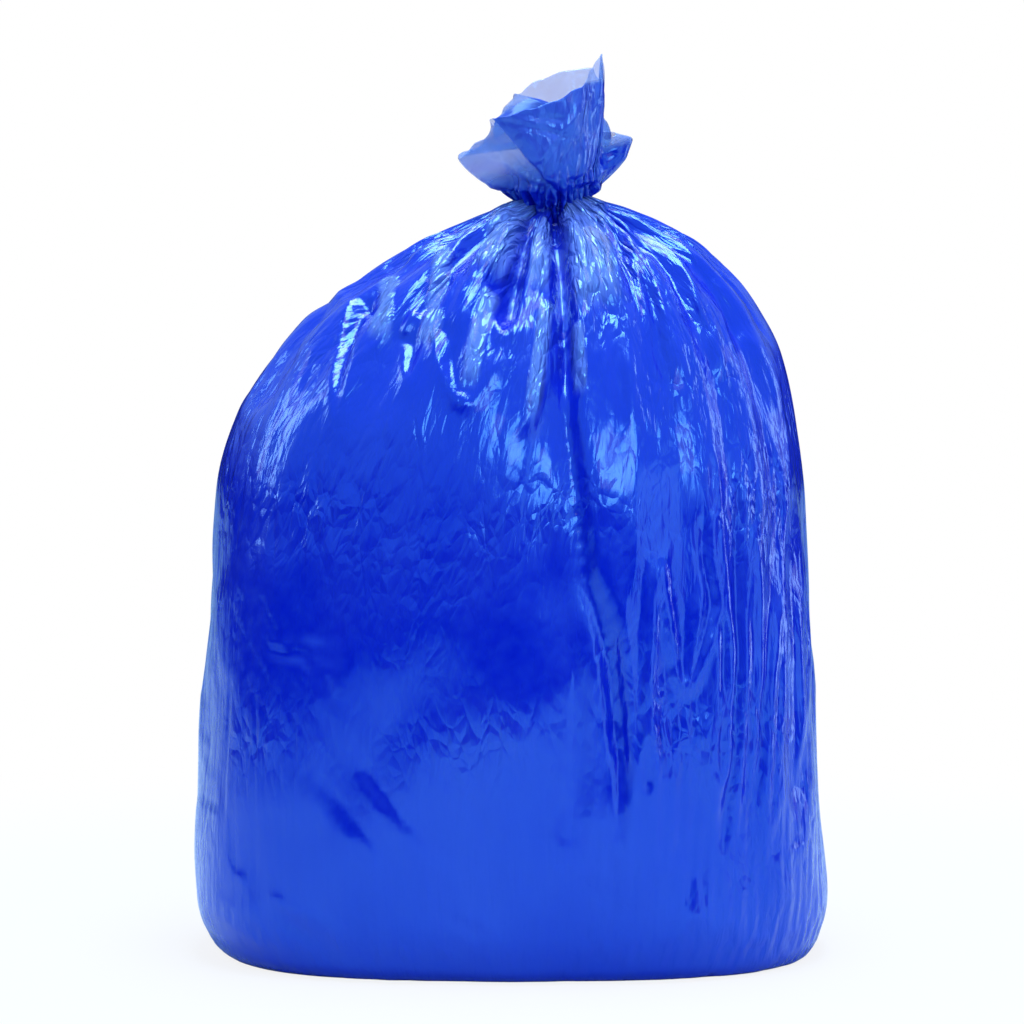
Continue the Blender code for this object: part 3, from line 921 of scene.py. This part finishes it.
def crisp(film, points, rounds, alike):
    """The film with flat facets, measured as heights over the hull. Slopes less far apart than alike
    count as one facet."""
    away = outward(points)
    first_rise = ((film - points) * away).sum(0)
    width = length_of(np.roll(points, -1, 2) - points)
    climb_step = np.pad(length_of(np.diff(points, axis=1)), ((0, 1), (0, 0)), mode="edge")
    rise = first_rise
    for _ in range(rounds):
        slope_round = (shifted(rise, 0, 1) - rise) / width
        slope_up = (shifted(rise, 1, 0) - rise) / climb_step
        total = np.zeros(rise.shape)
        new_round, new_up = np.zeros(rise.shape), np.zeros(rise.shape)
        for up in NEARBY:
            for side in NEARBY:
                other_round, other_up = shifted(slope_round, up, side), shifted(slope_up, up, side)
                unlike = (other_round - slope_round) ** 2 + (other_up - slope_up) ** 2
                weight = np.exp(-(up * up + side * side) / 4 - unlike / (2 * alike**2))
                new_round += weight * other_round
                new_up += weight * other_up
                total += weight
        new_round, new_up = new_round / total * width, new_up / total * climb_step
        target = rise
        for _ in range(HEIGHT_ROUNDS):
            beside = shifted(target, 0, -1) + shifted(new_round, 0, -1) + shifted(target, 0, 1) - new_round
            above_below = shifted(target, -1, 0) + shifted(new_up, -1, 0) + shifted(target, 1, 0) - new_up
            target = KEPT_RISE * rise + (1 - KEPT_RISE) * (beside + above_below) / 4
            target[[0, -1]] = rise[[0, -1]]
        rise = target
    return film + away * (rise - first_rise)


alike = ALIKE_ON_WALL + (ALIKE_ON_DOME - ALIKE_ON_WALL) * part["dome"]
film = crisp(film, points, CRISP_ROUNDS, alike)
film[2] = np.maximum(film[2], FLOOR_GAP)
print("creases sharpened after", round(time.time() - started, 1), "s")

# %% [markdown]
# ## The knot
#
# The real bag is closed by a knot in its own film, which the gathers hide. A few rows that run in from
# the last gathered row to the middle, and a little up, close the film where the knot is. A modelled
# knot would be work that no view shows.

# %% Close the neck with a tied rosette
ROSETTE_ROWS = 6
ROSETTE_RISE = 10 * MM
ROSETTE_STEP = 4 * MM
ROSETTE_HOLE = 0.3
last = film[:, -1]
rosette = []
for step in range(1, ROSETTE_ROWS + 1):
    inward = 1 - step / (ROSETTE_ROWS + ROSETTE_HOLE)
    row = np.array([neck[0] + (last[0] - neck[0]) * inward, neck[1] + (last[1] - neck[1]) * inward,
                    last[2] + ROSETTE_RISE * math.sin(math.pi / 2 * (1 - inward))])
    rosette.append(row)
film = np.concatenate([film, np.stack(rosette, 1)], 1)
climbed = np.concatenate([climbed, climbed[-1] + np.arange(1, ROSETTE_ROWS + 1)[:, None] * ROSETTE_STEP])
for name in part:
    part[name] = np.pad(part[name], ((0, ROSETTE_ROWS), (0, 0)), mode="edge")
print("neck closed by", ROSETTE_ROWS, "rows at", round(float(film[2, -1].mean()), 3), "m")

# %% [markdown]
# ## From a grid of points to a mesh
#
# Each cell of the grid is one face. The first row lies in under the base, so one flat face closes
# the bottom. A map of the film keeps each point's place round and up the tube in metres, because
# the creases in the film's finish run along it. An unwrap would cut the film into islands with seams,
# and the grid already knows each point's place.

# %% Mesh of a grid
def grid_mesh(name, points, round_metres, up_metres, cap_start=False):
    """A mesh of the grid's cells, closed round, with a map of the film in metres."""
    _, rows, columns = points.shape
    verts = np.ascontiguousarray(points.transpose(1, 2, 0)).reshape(-1, 3)
    first = np.arange(rows - 1)[:, None] * columns
    here, beside = np.arange(columns)[None], (np.arange(columns) + 1)[None] % columns
    faces = np.stack([first + here, first + beside, first + beside + columns, first + here + columns], -1)
    faces = faces.reshape(-1, 4).tolist()
    if cap_start:
        faces.append(list(range(columns))[::-1])
    mesh = bpy.data.meshes.new(name)
    mesh.from_pydata(verts.tolist(), [], faces)
    mesh.polygons.foreach_set("use_smooth", np.ones(len(faces), bool))
    corner_vert = np.empty(len(mesh.loops), int)
    mesh.loops.foreach_get("vertex_index", corner_vert)
    row, column = corner_vert // columns, corner_vert % columns
    across = round_metres[column]
    corner = np.arange(len(corner_vert)) % 4
    in_grid = np.arange(len(corner_vert)) < 4 * (rows - 1) * columns
    closes_ring = (column == 0) & ((corner == 1) | (corner == 2)) & in_grid
    across = np.where(closes_ring, round_metres[-1] + (round_metres[1] - round_metres[0]), across)
    upward = up_metres[row, column]
    mesh.uv_layers.new(name="film").data.foreach_set("uv", np.stack([across, upward], 1).ravel())
    thing = bpy.data.objects.new(name, mesh)
    scene.collection.objects.link(thing)
    return thing


bag = grid_mesh("bag_film", film, placed, climbed, cap_start=True)
print("bag film:", sum(len(face.vertices) - 2 for face in bag.data.polygons), "triangles,",
      "from", film.min((1, 2)).round(3), "to", film.max((1, 2)).round(3))

# %% [markdown]
# ## The tuft
#
# Above the neck the bag's mouth opens again into loose flaps: a tall panel in front that leans to
# the right, a pale lobe on the left, a dark one on the right and a panel behind. Nothing holds them
# out, so they keep the creases of being twisted and tied.
#
# The flaps could be drawn freely, but the solid already has their outline. So each line of film from
# the knot to the rim is read from the solid, with rays that come in from outside at many heights.

# %% Rim of the tuft
RIM_STEPS = 180
ABOVE_KNOT = 8 * MM
RIM_WINDOW = math.radians(3)
# The rim's point in each direction is the one that is highest, with this share for how far out it is
OUT_COUNTS = 0.3
above = solid_points[solid_points[:, 2] > neck_height + ABOVE_KNOT]
above_turn = np.arctan2(above[:, 1] - neck[1], above[:, 0] - neck[0])
above_reach = np.hypot(above[:, 0] - neck[0], above[:, 1] - neck[1])
rim = []
for turn in np.linspace(-math.pi, math.pi, RIM_STEPS, endpoint=False):
    gap = abs((above_turn - turn + math.pi) % (2 * math.pi) - math.pi)
    near = np.flatnonzero(gap < RIM_WINDOW)
    top = near[np.argmax(above[near, 2] + OUT_COUNTS * above_reach[near])]
    rim.append((above_reach[top], above[top, 2] - neck_height))
rim = np.array(rim)
rim = (np.roll(rim, 1, 0) + 2 * rim + np.roll(rim, -1, 0)) / 4
print("rim reaches", rim[:, 0].min().round(3), "to", rim[:, 0].max().round(3),
      "and rises", rim[:, 1].min().round(3), "to", rim[:, 1].max().round(3))

# %% Lines of the solid from the knot to the rim
TUFT_COLUMNS = 336
TUFT_ROWS = 72
FAR = 0.3
LEVELS = 14
FIRST_LEVEL = 5 * MM
LAST_LEVEL = 0.97
tuft_turns = np.linspace(-math.pi, math.pi, TUFT_COLUMNS, endpoint=False)
rim_reach, rim_rise = read_between(rim.T, (tuft_turns + math.pi) / (2 * math.pi) * RIM_STEPS)
up = np.linspace(0, 1, TUFT_ROWS)[:, None]


def reach_from_outside(turn, height):
    """How far from the neck's middle line the solid reaches at a height, or nan where it has none."""
    way = Vector((math.cos(turn), math.sin(turn), 0))
    hit = solid_tree.ray_cast(Vector((*neck[:2], neck_height + height)) + way * FAR, -way)
    return FAR - hit[3] if hit[0] is not None else np.nan


levels = np.linspace(0, LAST_LEVEL, LEVELS)
solid_reach = np.empty((LEVELS, TUFT_COLUMNS))
for column in range(TUFT_COLUMNS):
    for level, level_share in enumerate(levels):
        height = FIRST_LEVEL + (rim_rise[column] - FIRST_LEVEL) * level_share
        found = reach_from_outside(tuft_turns[column], height)
        solid_reach[level, column] = rim_reach[column] if np.isnan(found) else found
print("tuft read at", LEVELS, "heights, out to", solid_reach.max().round(3), "m")

# %% The loose form of the flaps
# A column of film starts down in the knot, runs through a narrow collar and then opens
KNOT_SHARE = 0.22
KNOT_DEPTH = 14 * MM
COLLAR = 24 * MM
COLLAR_NARROWS = 3 * MM
COLLAR_OPENS = (0.32, 0.12)
LINE_BLUR = 4
LOBE_SWELLS = 5 * MM
open_share = np.clip((up - KNOT_SHARE) / (1 - KNOT_SHARE), 0, 1) + 0 * tuft_turns
out_line = np.empty((TUFT_ROWS, TUFT_COLUMNS))
for column in range(TUFT_COLUMNS):
    out_line[:, column] = np.interp(open_share[:, column] * LAST_LEVEL, levels, solid_reach[:, column])
closed = ease(*COLLAR_OPENS, up)
out_line = out_line * (1 - closed) + (COLLAR - COLLAR_NARROWS * ease(0.10, 0, up)) * closed
up_line = FIRST_LEVEL + (rim_rise - FIRST_LEVEL) * open_share
in_knot = -KNOT_DEPTH + (FIRST_LEVEL + KNOT_DEPTH) * up / KNOT_SHARE
up_line = np.where(up < KNOT_SHARE, in_knot, up_line)
for line in (out_line, up_line):
    for _ in range(3):
        line[1:-1] = (line[:-2] + 2 * line[1:-1] + line[2:]) / 4
out_line = blurred_round(out_line, LINE_BLUR)
on_lobe = ease(-0.15, 0.1, tuft_turns) * ease(1.0, 0.8, tuft_turns) * ease(0.15, 0.4, up)
out_line = out_line + LOBE_SWELLS * on_lobe
form = np.stack([neck[0] + out_line * np.cos(tuft_turns), neck[1] + out_line * np.sin(tuft_turns),
                 neck[2] + up_line])
print("flaps reach up to", round(float(form[2].max()), 3), "m")

# %% [markdown]
# ## Folds of the tuft
#
# The front panel is the mouth's edge laid over the other flaps, so its left side is a straight edge
# that stands forward by a small step. That edge and the creases that fan out of the knot are what
# makes the tuft look tied, so they are drawn as paths like the large folds, in millimetres as the
# camera sees them. The settling that laid the film round the bag then turns the form into film.

# %% Folds of the tuft, drawn like the large ones
PANEL_CORNER = (-16, 661)
# The direction in the picture that leads across the panel's left edge into the panel
PANEL_WAY = (0.750, 0.662)
PANEL_EDGE = (-1.5 * MM, 1.0 * MM)
PANEL_RIGHT = (74 * MM, 68 * MM)
PANEL_STEP = 4 * MM
PANEL_TOP = (PANEL_CORNER, (23, 679), (71, 689))
TUFT_FOLDS = (
    (-1.5, 2.5, 0.0, 0.3, (-16, 660), (39, 645), (68, 637)),
    (-1.2, 2.5, 0.1, 0.3, (-11, 666), (20, 659), (47, 657)),
    (1.5, 3, 0.1, 0.3, (20, 622), (34, 642), (52, 665), (70, 690)),
    (-1.5, 2.5, 0.1, 0.3, (30, 612), (45, 636), (60, 652)),
    (2, 3, 0.1, 0.2, (27, 605), (-2, 622), (-33, 637)),
    (-2, 3, 0.1, 0.2, (27, 604), (-4, 614), (-34, 622)),
    (-2, 3, 0.1, 0.2, (23, 607), (2, 628), (-17, 645)),
    (2, 3, 0.1, 0.2, (24, 602), (0, 605), (-22, 611)),
    (2, 3, 0.1, 0.2, (47, 605), (70, 618), (95, 637)),
    (-2, 3, 0.1, 0.2, (47, 606), (64, 624), (83, 643)),
    (-2, 3, 0.1, 0.2, (48, 603), (74, 612), (99, 624)),
)
across, seen_height = form[0], height_in_view(form)
faces_us = ease(0.1, -0.2, outward(form)[1])
past_edge = ((across - PANEL_CORNER[0] * MM) * PANEL_WAY[0]
             + (seen_height - PANEL_CORNER[1] * MM) * PANEL_WAY[1])
in_panel = faces_us * ease(*PANEL_EDGE, past_edge) * ease(*PANEL_RIGHT, across)
drawn_rise = in_panel * PANEL_STEP * ease(0.2, 0.4, up)
add_folds(drawn_rise, TUFT_FOLDS, faces_us, across, seen_height)
print(len(TUFT_FOLDS), "folds drawn on the tuft")

# %% Settle the tuft
TUFT_LENGTH = 0.12
GATHER_HEIGHT = 2.0 * MM
FLAP_DENTS = 1.0 * MM
TUFT_TURNS_OF_WORK = 160
TUFT_HOLD = 0.10
TUFT_STIFFNESS = 0.04
TUFT_ALIKE = 0.10
TUFT_CRISP_ROUNDS = 6
LEAST_SPARE = 0.001
TUFT_SEED = 3
FLAP_GATHERS = ((14, 30), 6.0, 12)
FLAP_DENT_WAVES = ((3, 9), 14.0, 14)
SPARE_WAVES = ((2, 9), 12.0, 8)
chance = np.random.default_rng(TUFT_SEED)
round_share = (tuft_turns + math.pi)[None] / (2 * math.pi)
gathers = ripples(round_share, up * TUFT_LENGTH, chance, *FLAP_GATHERS)
dents = ripples(round_share, up * TUFT_LENGTH, chance, *FLAP_DENT_WAVES)
gather_height = GATHER_HEIGHT * np.exp(-((up - 0.16) / 0.13) ** 2)
rises = drawn_rise + dents * FLAP_DENTS * ease(0.15, 0.4, up) - gathers * gather_height
tuft_drawn = form + outward(form) * rises
tuft_free = np.ones((TUFT_ROWS, TUFT_COLUMNS))
tuft_free[up[:, 0] < 0.10] = 0
spare = 0.003 + 0.04 * np.exp(-((up - 0.16) / 0.14) ** 2)
spare = spare + 0.010 * ripples(round_share, up * TUFT_LENGTH, chance, *SPARE_WAVES)
spare = np.maximum(spare, LEAST_SPARE) + 0 * up
tuft_film = tuft_drawn
tuft_film = settle(tuft_drawn, tuft_drawn, tuft_free, spare, spare, TUFT_TURNS_OF_WORK,
                   TUFT_HOLD, TUFT_STIFFNESS)
tuft_film = crisp(tuft_film, form, TUFT_CRISP_ROUNDS, TUFT_ALIKE)
print("tuft settled after", round(time.time() - started, 1), "s, from", tuft_film.min((1, 2)).round(3),
      "to", tuft_film.max((1, 2)).round(3))

# %% Close the flaps to a thin skin
FILM_THICKNESS = 0.5 * MM


def both_sides(values):
    """Values of the film's outside, from the knot to the rim, and then of its inside, back down."""
    return np.concatenate([values, values[..., ::-1, :]], -2)


away = outward(tuft_film)
inner = tuft_film - away * FILM_THICKNESS
skin = np.concatenate([tuft_film, inner[:, ::-1]], 1)
skin_up = both_sides(up) * TUFT_LENGTH + 0 * tuft_turns
tuft = grid_mesh("tuft_film", skin, tuft_turns * 40 * MM, skin_up)
print("tuft film:", 2 * len(tuft.data.polygons), "triangles")

# %% [markdown]
# ## The film's finish
#
# Polythene film is thin and glossy, and its gloss is broken by creases far finer than the grid:
# little flat facets where it was crumpled, and fine lines along the tube from how it was blown and
# rolled. Both could be modelled, but a few nodes give them for the body and the flaps alike, so
# they are one node group, with a socket for how crumpled the film is.
#
# The distance to the edge of Voronoi cells makes roofs with flat sides, which is what a crease does
# to film. The cells are laid out on the film's own map, and stretched up the bag.


# %% Helpers for nodes
def new_group(name, inputs, outputs):
    """An empty shader group with named sockets, as (name, kind, default)."""
    group = bpy.data.node_groups.new(name, "ShaderNodeTree")
    for label, kind, value in inputs:
        socket = group.interface.new_socket(label, in_out="INPUT", socket_type=kind)
        if value is not None:
            socket.default_value = value
    for label, kind in outputs:
        group.interface.new_socket(label, in_out="OUTPUT", socket_type=kind)
    return group, group.nodes.new("NodeGroupInput").outputs, group.nodes.new("NodeGroupOutput").inputs


def add_node(tree, kind, links=(), **settings):
    """A node with its settings made and its inputs linked or set."""
    node = tree.nodes.new(kind)
    for name, value in settings.items():
        setattr(node, name, value)
    for socket, source in links:
        if hasattr(source, "is_output"):
            tree.links.new(source, node.inputs[socket])
        else:
            node.inputs[socket].default_value = source
    return node


def math_node(tree, operation, first, second):
    return add_node(tree, "ShaderNodeMath", ((0, first), (1, second)), operation=operation).outputs[0]


def squeezed_up(tree, place, share):
    """The film's map squeezed up the bag, so that what is laid out on it comes out long."""
    return add_node(tree, "ShaderNodeMapping", (("Vector", place), ("Scale", (1, share, 1)))).outputs[0]


def spots(tree, place, scale, detail, distortion=0):
    """Soft random spots, about 1 / scale metres wide."""
    return add_node(tree, "ShaderNodeTexNoise", (("Vector", place), ("Scale", scale), ("Detail", detail),
                                                 ("Distortion", distortion)))


FLOAT, VECTOR, COLOUR = "NodeSocketFloat", "NodeSocketVector", "NodeSocketColor"

# %% Group: creases of the film
LONG_FACETS = 0.42
FACET_SCALES = (62, 150)
FACET_DEPTHS = (1.0, 0.38)
WANDER_SCALE = 28
WANDER = (0.022, 0.022, 0)
LONG_LINES = 0.10
LINE_SCALE = 120
LINE_DEPTH = 0.10
creases, given, result = new_group(
    "film_creases", (("Place", VECTOR, None), ("Crumple", FLOAT, 0.3)), (("Height", FLOAT),))
stretched = squeezed_up(creases, given["Place"], LONG_FACETS)
wander = spots(creases, stretched, WANDER_SCALE, 2).outputs["Color"]
wander = add_node(creases, "ShaderNodeVectorMath", ((0, wander), (1, WANDER)), operation="MULTIPLY")
bent = add_node(creases, "ShaderNodeVectorMath", ((0, stretched), (1, wander.outputs[0])), operation="ADD")
facets = []
for scale, depth in zip(FACET_SCALES, FACET_DEPTHS):
    cells = add_node(creases, "ShaderNodeTexVoronoi", (("Vector", bent.outputs[0]), ("Scale", scale)),
                     feature="DISTANCE_TO_EDGE")
    facets.append(math_node(creases, "MULTIPLY", cells.outputs["Distance"], depth))
crumpled = math_node(creases, "ADD", *facets)
lined = squeezed_up(creases, given["Place"], LONG_LINES)
lines = spots(creases, lined, LINE_SCALE, 3, 0.4)
height = math_node(creases, "ADD", math_node(creases, "MULTIPLY", crumpled, given["Crumple"]),
                   math_node(creases, "MULTIPLY", lines.outputs["Fac"], LINE_DEPTH))
creases.links.new(height, result["Height"])
print("crease group made of", len(creases.nodes), "nodes")

# %% [markdown]
# ## The film's colour
#
# The blue is in the film itself, so the more film the light has to pass, the deeper it is. One layer
# with nothing behind it is a pale blue, and the filled bag is the deepest. A second group mixes a thin
# and a thick blue by a number kept on each point, lets it drift a little in soft clouds, and makes
# some spots a trace duller, as handled film is. On the crumpled patches under the neck the same number
# paints a highlight, lightening the blue there towards the thin blue. Painted colour could do the same,
# but then each change would have to be painted again.

# %% Group: tone of the film
CLOUD_SCALE = 16
CLOUD_DRIFT = 0.008
LONG_CLOUDS = 0.25
DUST_SCALE = 90
tone, given, result = new_group(
    "film_tone", (("Place", VECTOR, None), ("Thinness and highlight", FLOAT, 0.2), ("Thin", COLOUR, (0.01, 0.06, 0.7, 1)),
                  ("Thick", COLOUR, (0.004, 0.03, 0.6, 1)), ("Gloss", FLOAT, 0.2), ("Haze", FLOAT, 0.35)),
    (("Colour", COLOUR), ("Roughness", FLOAT)))
clouds = spots(tone, squeezed_up(tone, given["Place"], LONG_CLOUDS), CLOUD_SCALE, 4)
drift = add_node(tone, "ShaderNodeMapRange", (("Value", clouds.outputs["Fac"]), ("From Min", 0.35),
                                              ("From Max", 0.65), ("To Min", -CLOUD_DRIFT),
                                              ("To Max", CLOUD_DRIFT)))
# The share of thin blue, which also carries the painted highlight of the crumpled patches
thin_and_highlight_share = add_node(tone, "ShaderNodeMath", ((0, drift.outputs[0]), (1, given["Thinness and highlight"])),
                      operation="ADD", use_clamp=True)
colour = add_node(tone, "ShaderNodeMix", ((0, thin_and_highlight_share.outputs[0]), (6, given["Thick"]),
                                          (7, given["Thin"])), data_type="RGBA")
tone.links.new(colour.outputs[2], result["Colour"])
dust = spots(tone, given["Place"], DUST_SCALE, 3)
haze = add_node(tone, "ShaderNodeMapRange", (("Value", dust.outputs["Fac"]), ("From Min", 0.3),
                                             ("From Max", 0.75), ("To Min", given["Gloss"]),
                                             ("To Max", given["Haze"])))
tone.links.new(haze.outputs[0], result["Roughness"])
print("tone group made of", len(tone.nodes), "nodes")

# %% [markdown]
# ## The film's shine
#
# Polythene mirrors about as much as window glass, and a filled bag more, because light comes back
# from both faces of the film and from the layers under it. Its refraction index is 1.5, and 2.0 stands
# for all of these. What comes back through blue film is blue, so that mirroring is tinted, and a light
# coat over it is the outermost face, which mirrors white. Two separate skins of clear blue film would
# be truer, but the picture would be noisy and the load inside would have to be modelled too.
#
# The body is closed round its load, so no light comes through. The flaps are loose, so their material
# also lets light through where they are one layer thick.


# %% Film materials
FILM_IOR = 2.0
MIRRORED_BLUE = (0.16, 0.52, 1.0, 1)
COAT = 0.16
COAT_ROUGHNESS = 0.08


def film_material(name, thin, thick, gloss, haze, crease_depth):
    """Blue film with its creases, whose depth is given in metres."""
    material = bpy.data.materials.new(name)
    material.use_nodes = True
    tree = material.node_tree
    shader = tree.nodes["Principled BSDF"]
    shader.inputs["IOR"].default_value = FILM_IOR
    shader.inputs["Specular Tint"].default_value = MIRRORED_BLUE
    shader.inputs["Coat Weight"].default_value = COAT
    shader.inputs["Coat Roughness"].default_value = COAT_ROUGHNESS
    # How thin the film looks, which on the body also carries a painted highlight
    thinness_and_highlight = add_node(tree, "ShaderNodeAttribute", attribute_name="thinness_and_highlight").outputs["Fac"]
    place = add_node(tree, "ShaderNodeUVMap", uv_map="film").outputs[0]
    crumple = add_node(tree, "ShaderNodeAttribute", attribute_name="crumple").outputs["Fac"]
    folds = add_node(tree, "ShaderNodeGroup", node_tree=creases)
    tree.links.new(place, folds.inputs["Place"])
    tree.links.new(crumple, folds.inputs["Crumple"])
    finish = add_node(tree, "ShaderNodeGroup", node_tree=tone)
    tree.links.new(place, finish.inputs["Place"])
    tree.links.new(thinness_and_highlight, finish.inputs["Thinness and highlight"])
    finish.inputs["Thin"].default_value = thin
    finish.inputs["Thick"].default_value = thick
    finish.inputs["Gloss"].default_value = gloss
    finish.inputs["Haze"].default_value = haze
    bump = add_node(tree, "ShaderNodeBump", (("Height", folds.outputs["Height"]),
                                             ("Distance", crease_depth), ("Strength", 1.0)))
    tree.links.new(bump.outputs[0], shader.inputs["Normal"])
    tree.links.new(finish.outputs["Colour"], shader.inputs["Base Color"])
    tree.links.new(finish.outputs["Roughness"], shader.inputs["Roughness"])
    return material, shader


THIN_BLUE = (0.27, 0.50, 0.97, 1)
THICK_BLUE = (0.0008, 0.009, 0.46, 1)
FILM_GLOSS = 0.10
FILM_HAZE = 0.25
CREASE_DEPTH = 8 * MM
FINISH = (THIN_BLUE, THICK_BLUE, FILM_GLOSS, FILM_HAZE, CREASE_DEPTH)
body_film, _ = film_material("blue_film", *FINISH)
flap_film, flap_shader = film_material("blue_film_flaps", *FINISH)
covers = add_node(flap_film.node_tree, "ShaderNodeAttribute", attribute_name="covers").outputs["Fac"]
flap_film.node_tree.links.new(covers, flap_shader.inputs["Alpha"])
bag.data.materials.append(body_film)
tuft.data.materials.append(flap_film)
print("materials:", body_film.name, "and", flap_film.name)

# %% [markdown]
# ## Where the film is crumpled, where it is thin, and where a highlight is painted
#
# The materials read three numbers kept on the points of each mesh: how crumpled the film is, how thin
# it looks, and how well it covers what is behind. On the body, how thin it looks also carries a painted
# highlight, which lightens the crumpled patches under the neck. Images could hold them too, but the
# regions of the bag are already known for every point, so nothing has to be unwrapped or painted.

# %% How crumpled each part of the bag is
CRUMPLE = {"everywhere": 0.10, "dome": 0.08, "gathered": 0.30, "right": 0.05}
PALE_CRUMPLE = 0.9
EDGE_CRUMPLE = 0.25
# The pale entry is a painted highlight: it lightens the crumpled patches towards the thin blue
THINNESS_AND_HIGHLIGHT = {"everywhere": 0.002, "gathered": 0.01, "pale": 0.30}
PATCH_SEED = 9
PATCH_WAVES = ((2, 9), 7.0, 12)
# The film is more crumpled along the lower and the upper edge of the calm panel: height and spread
CALM_EDGES = ((195 * MM, 28 * MM), (365 * MM, 24 * MM))


def store(thing, name, values):
    """Keeps one number for each point, to be read by the material."""
    layer = thing.data.attributes.new(name, "FLOAT", "POINT")
    layer.data.foreach_set("value", np.ascontiguousarray(values, dtype=np.float32).ravel())


climbs = np.concatenate([points[2], np.repeat(points[2][-1:], ROSETTE_ROWS, 0)])
patches = ripples(placed / around + 0 * climbed, climbed, np.random.default_rng(PATCH_SEED), *PATCH_WAVES)
patchy = ease(-0.6, 1.2, patches)
crumple = by_place(part, CRUMPLE) * (0.5 + patchy) * (1 - 0.3 * part["calm"])
near_edges = sum(np.exp(-((climbs - height) / spread) ** 2) for height, spread in CALM_EDGES)
edge_of_calm = part["facing"] * near_edges
crumple += PALE_CRUMPLE * part["pale"] + EDGE_CRUMPLE * edge_of_calm * (0.3 + patchy)
store(bag, "crumple", crumple)
# The thinness kept on the body includes the painted highlight of the crumpled patches
store(bag, "thinness_and_highlight", by_place(part, THINNESS_AND_HIGHLIGHT) + 0.008 * patchy)
print("crumple from", crumple.min().round(2), "to", crumple.max().round(2))

# %% How thin each flap is
LOBE_LEFT = (66 * MM, 72 * MM)
ONE_LAYER_COVERS = 0.38
MORE_LAYERS_COVER = 0.59
near_knot = ease(0.62, 0.25, skin_up / TUFT_LENGTH)
right_lobe = ease(*LOBE_LEFT, across) * ease(0.98, 0.80, up)
panel_top = np.interp(across, *(np.array(PANEL_TOP).T * MM))
front_panel = in_panel * ease(1.5 * MM, -1.5 * MM, seen_height - panel_top)
layers = np.clip(near_knot + both_sides(np.clip(right_lobe + front_panel, 0, 1)), 0, 1)
# The knot and the right lobe are made a deeper blue still, beyond what their layers alone give
dark = np.clip(near_knot + both_sides(right_lobe), 0, 1)
store(tuft, "crumple", 0.40 + 0.7 * np.exp(-skin_up / 0.03))
store(tuft, "covers", ONE_LAYER_COVERS + MORE_LAYERS_COVER * layers)
store(tuft, "thinness_and_highlight", np.clip(0.55 - 0.43 * layers - 0.15 * dark, 0, 1))
print("flaps cover from", ONE_LAYER_COVERS, "to", round(ONE_LAYER_COVERS + MORE_LAYERS_COVER, 2))

# %% [markdown]
# ## Hand over
#
# Both pieces ride on the bag's one body and take the place of its plain solid. The film is closed
# round its load and can't move on its own, so nothing is declared as loose cloth.

# %% Hand over
for piece in (bag, tuft):
    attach(piece, "root")
    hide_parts("garbage_bag")
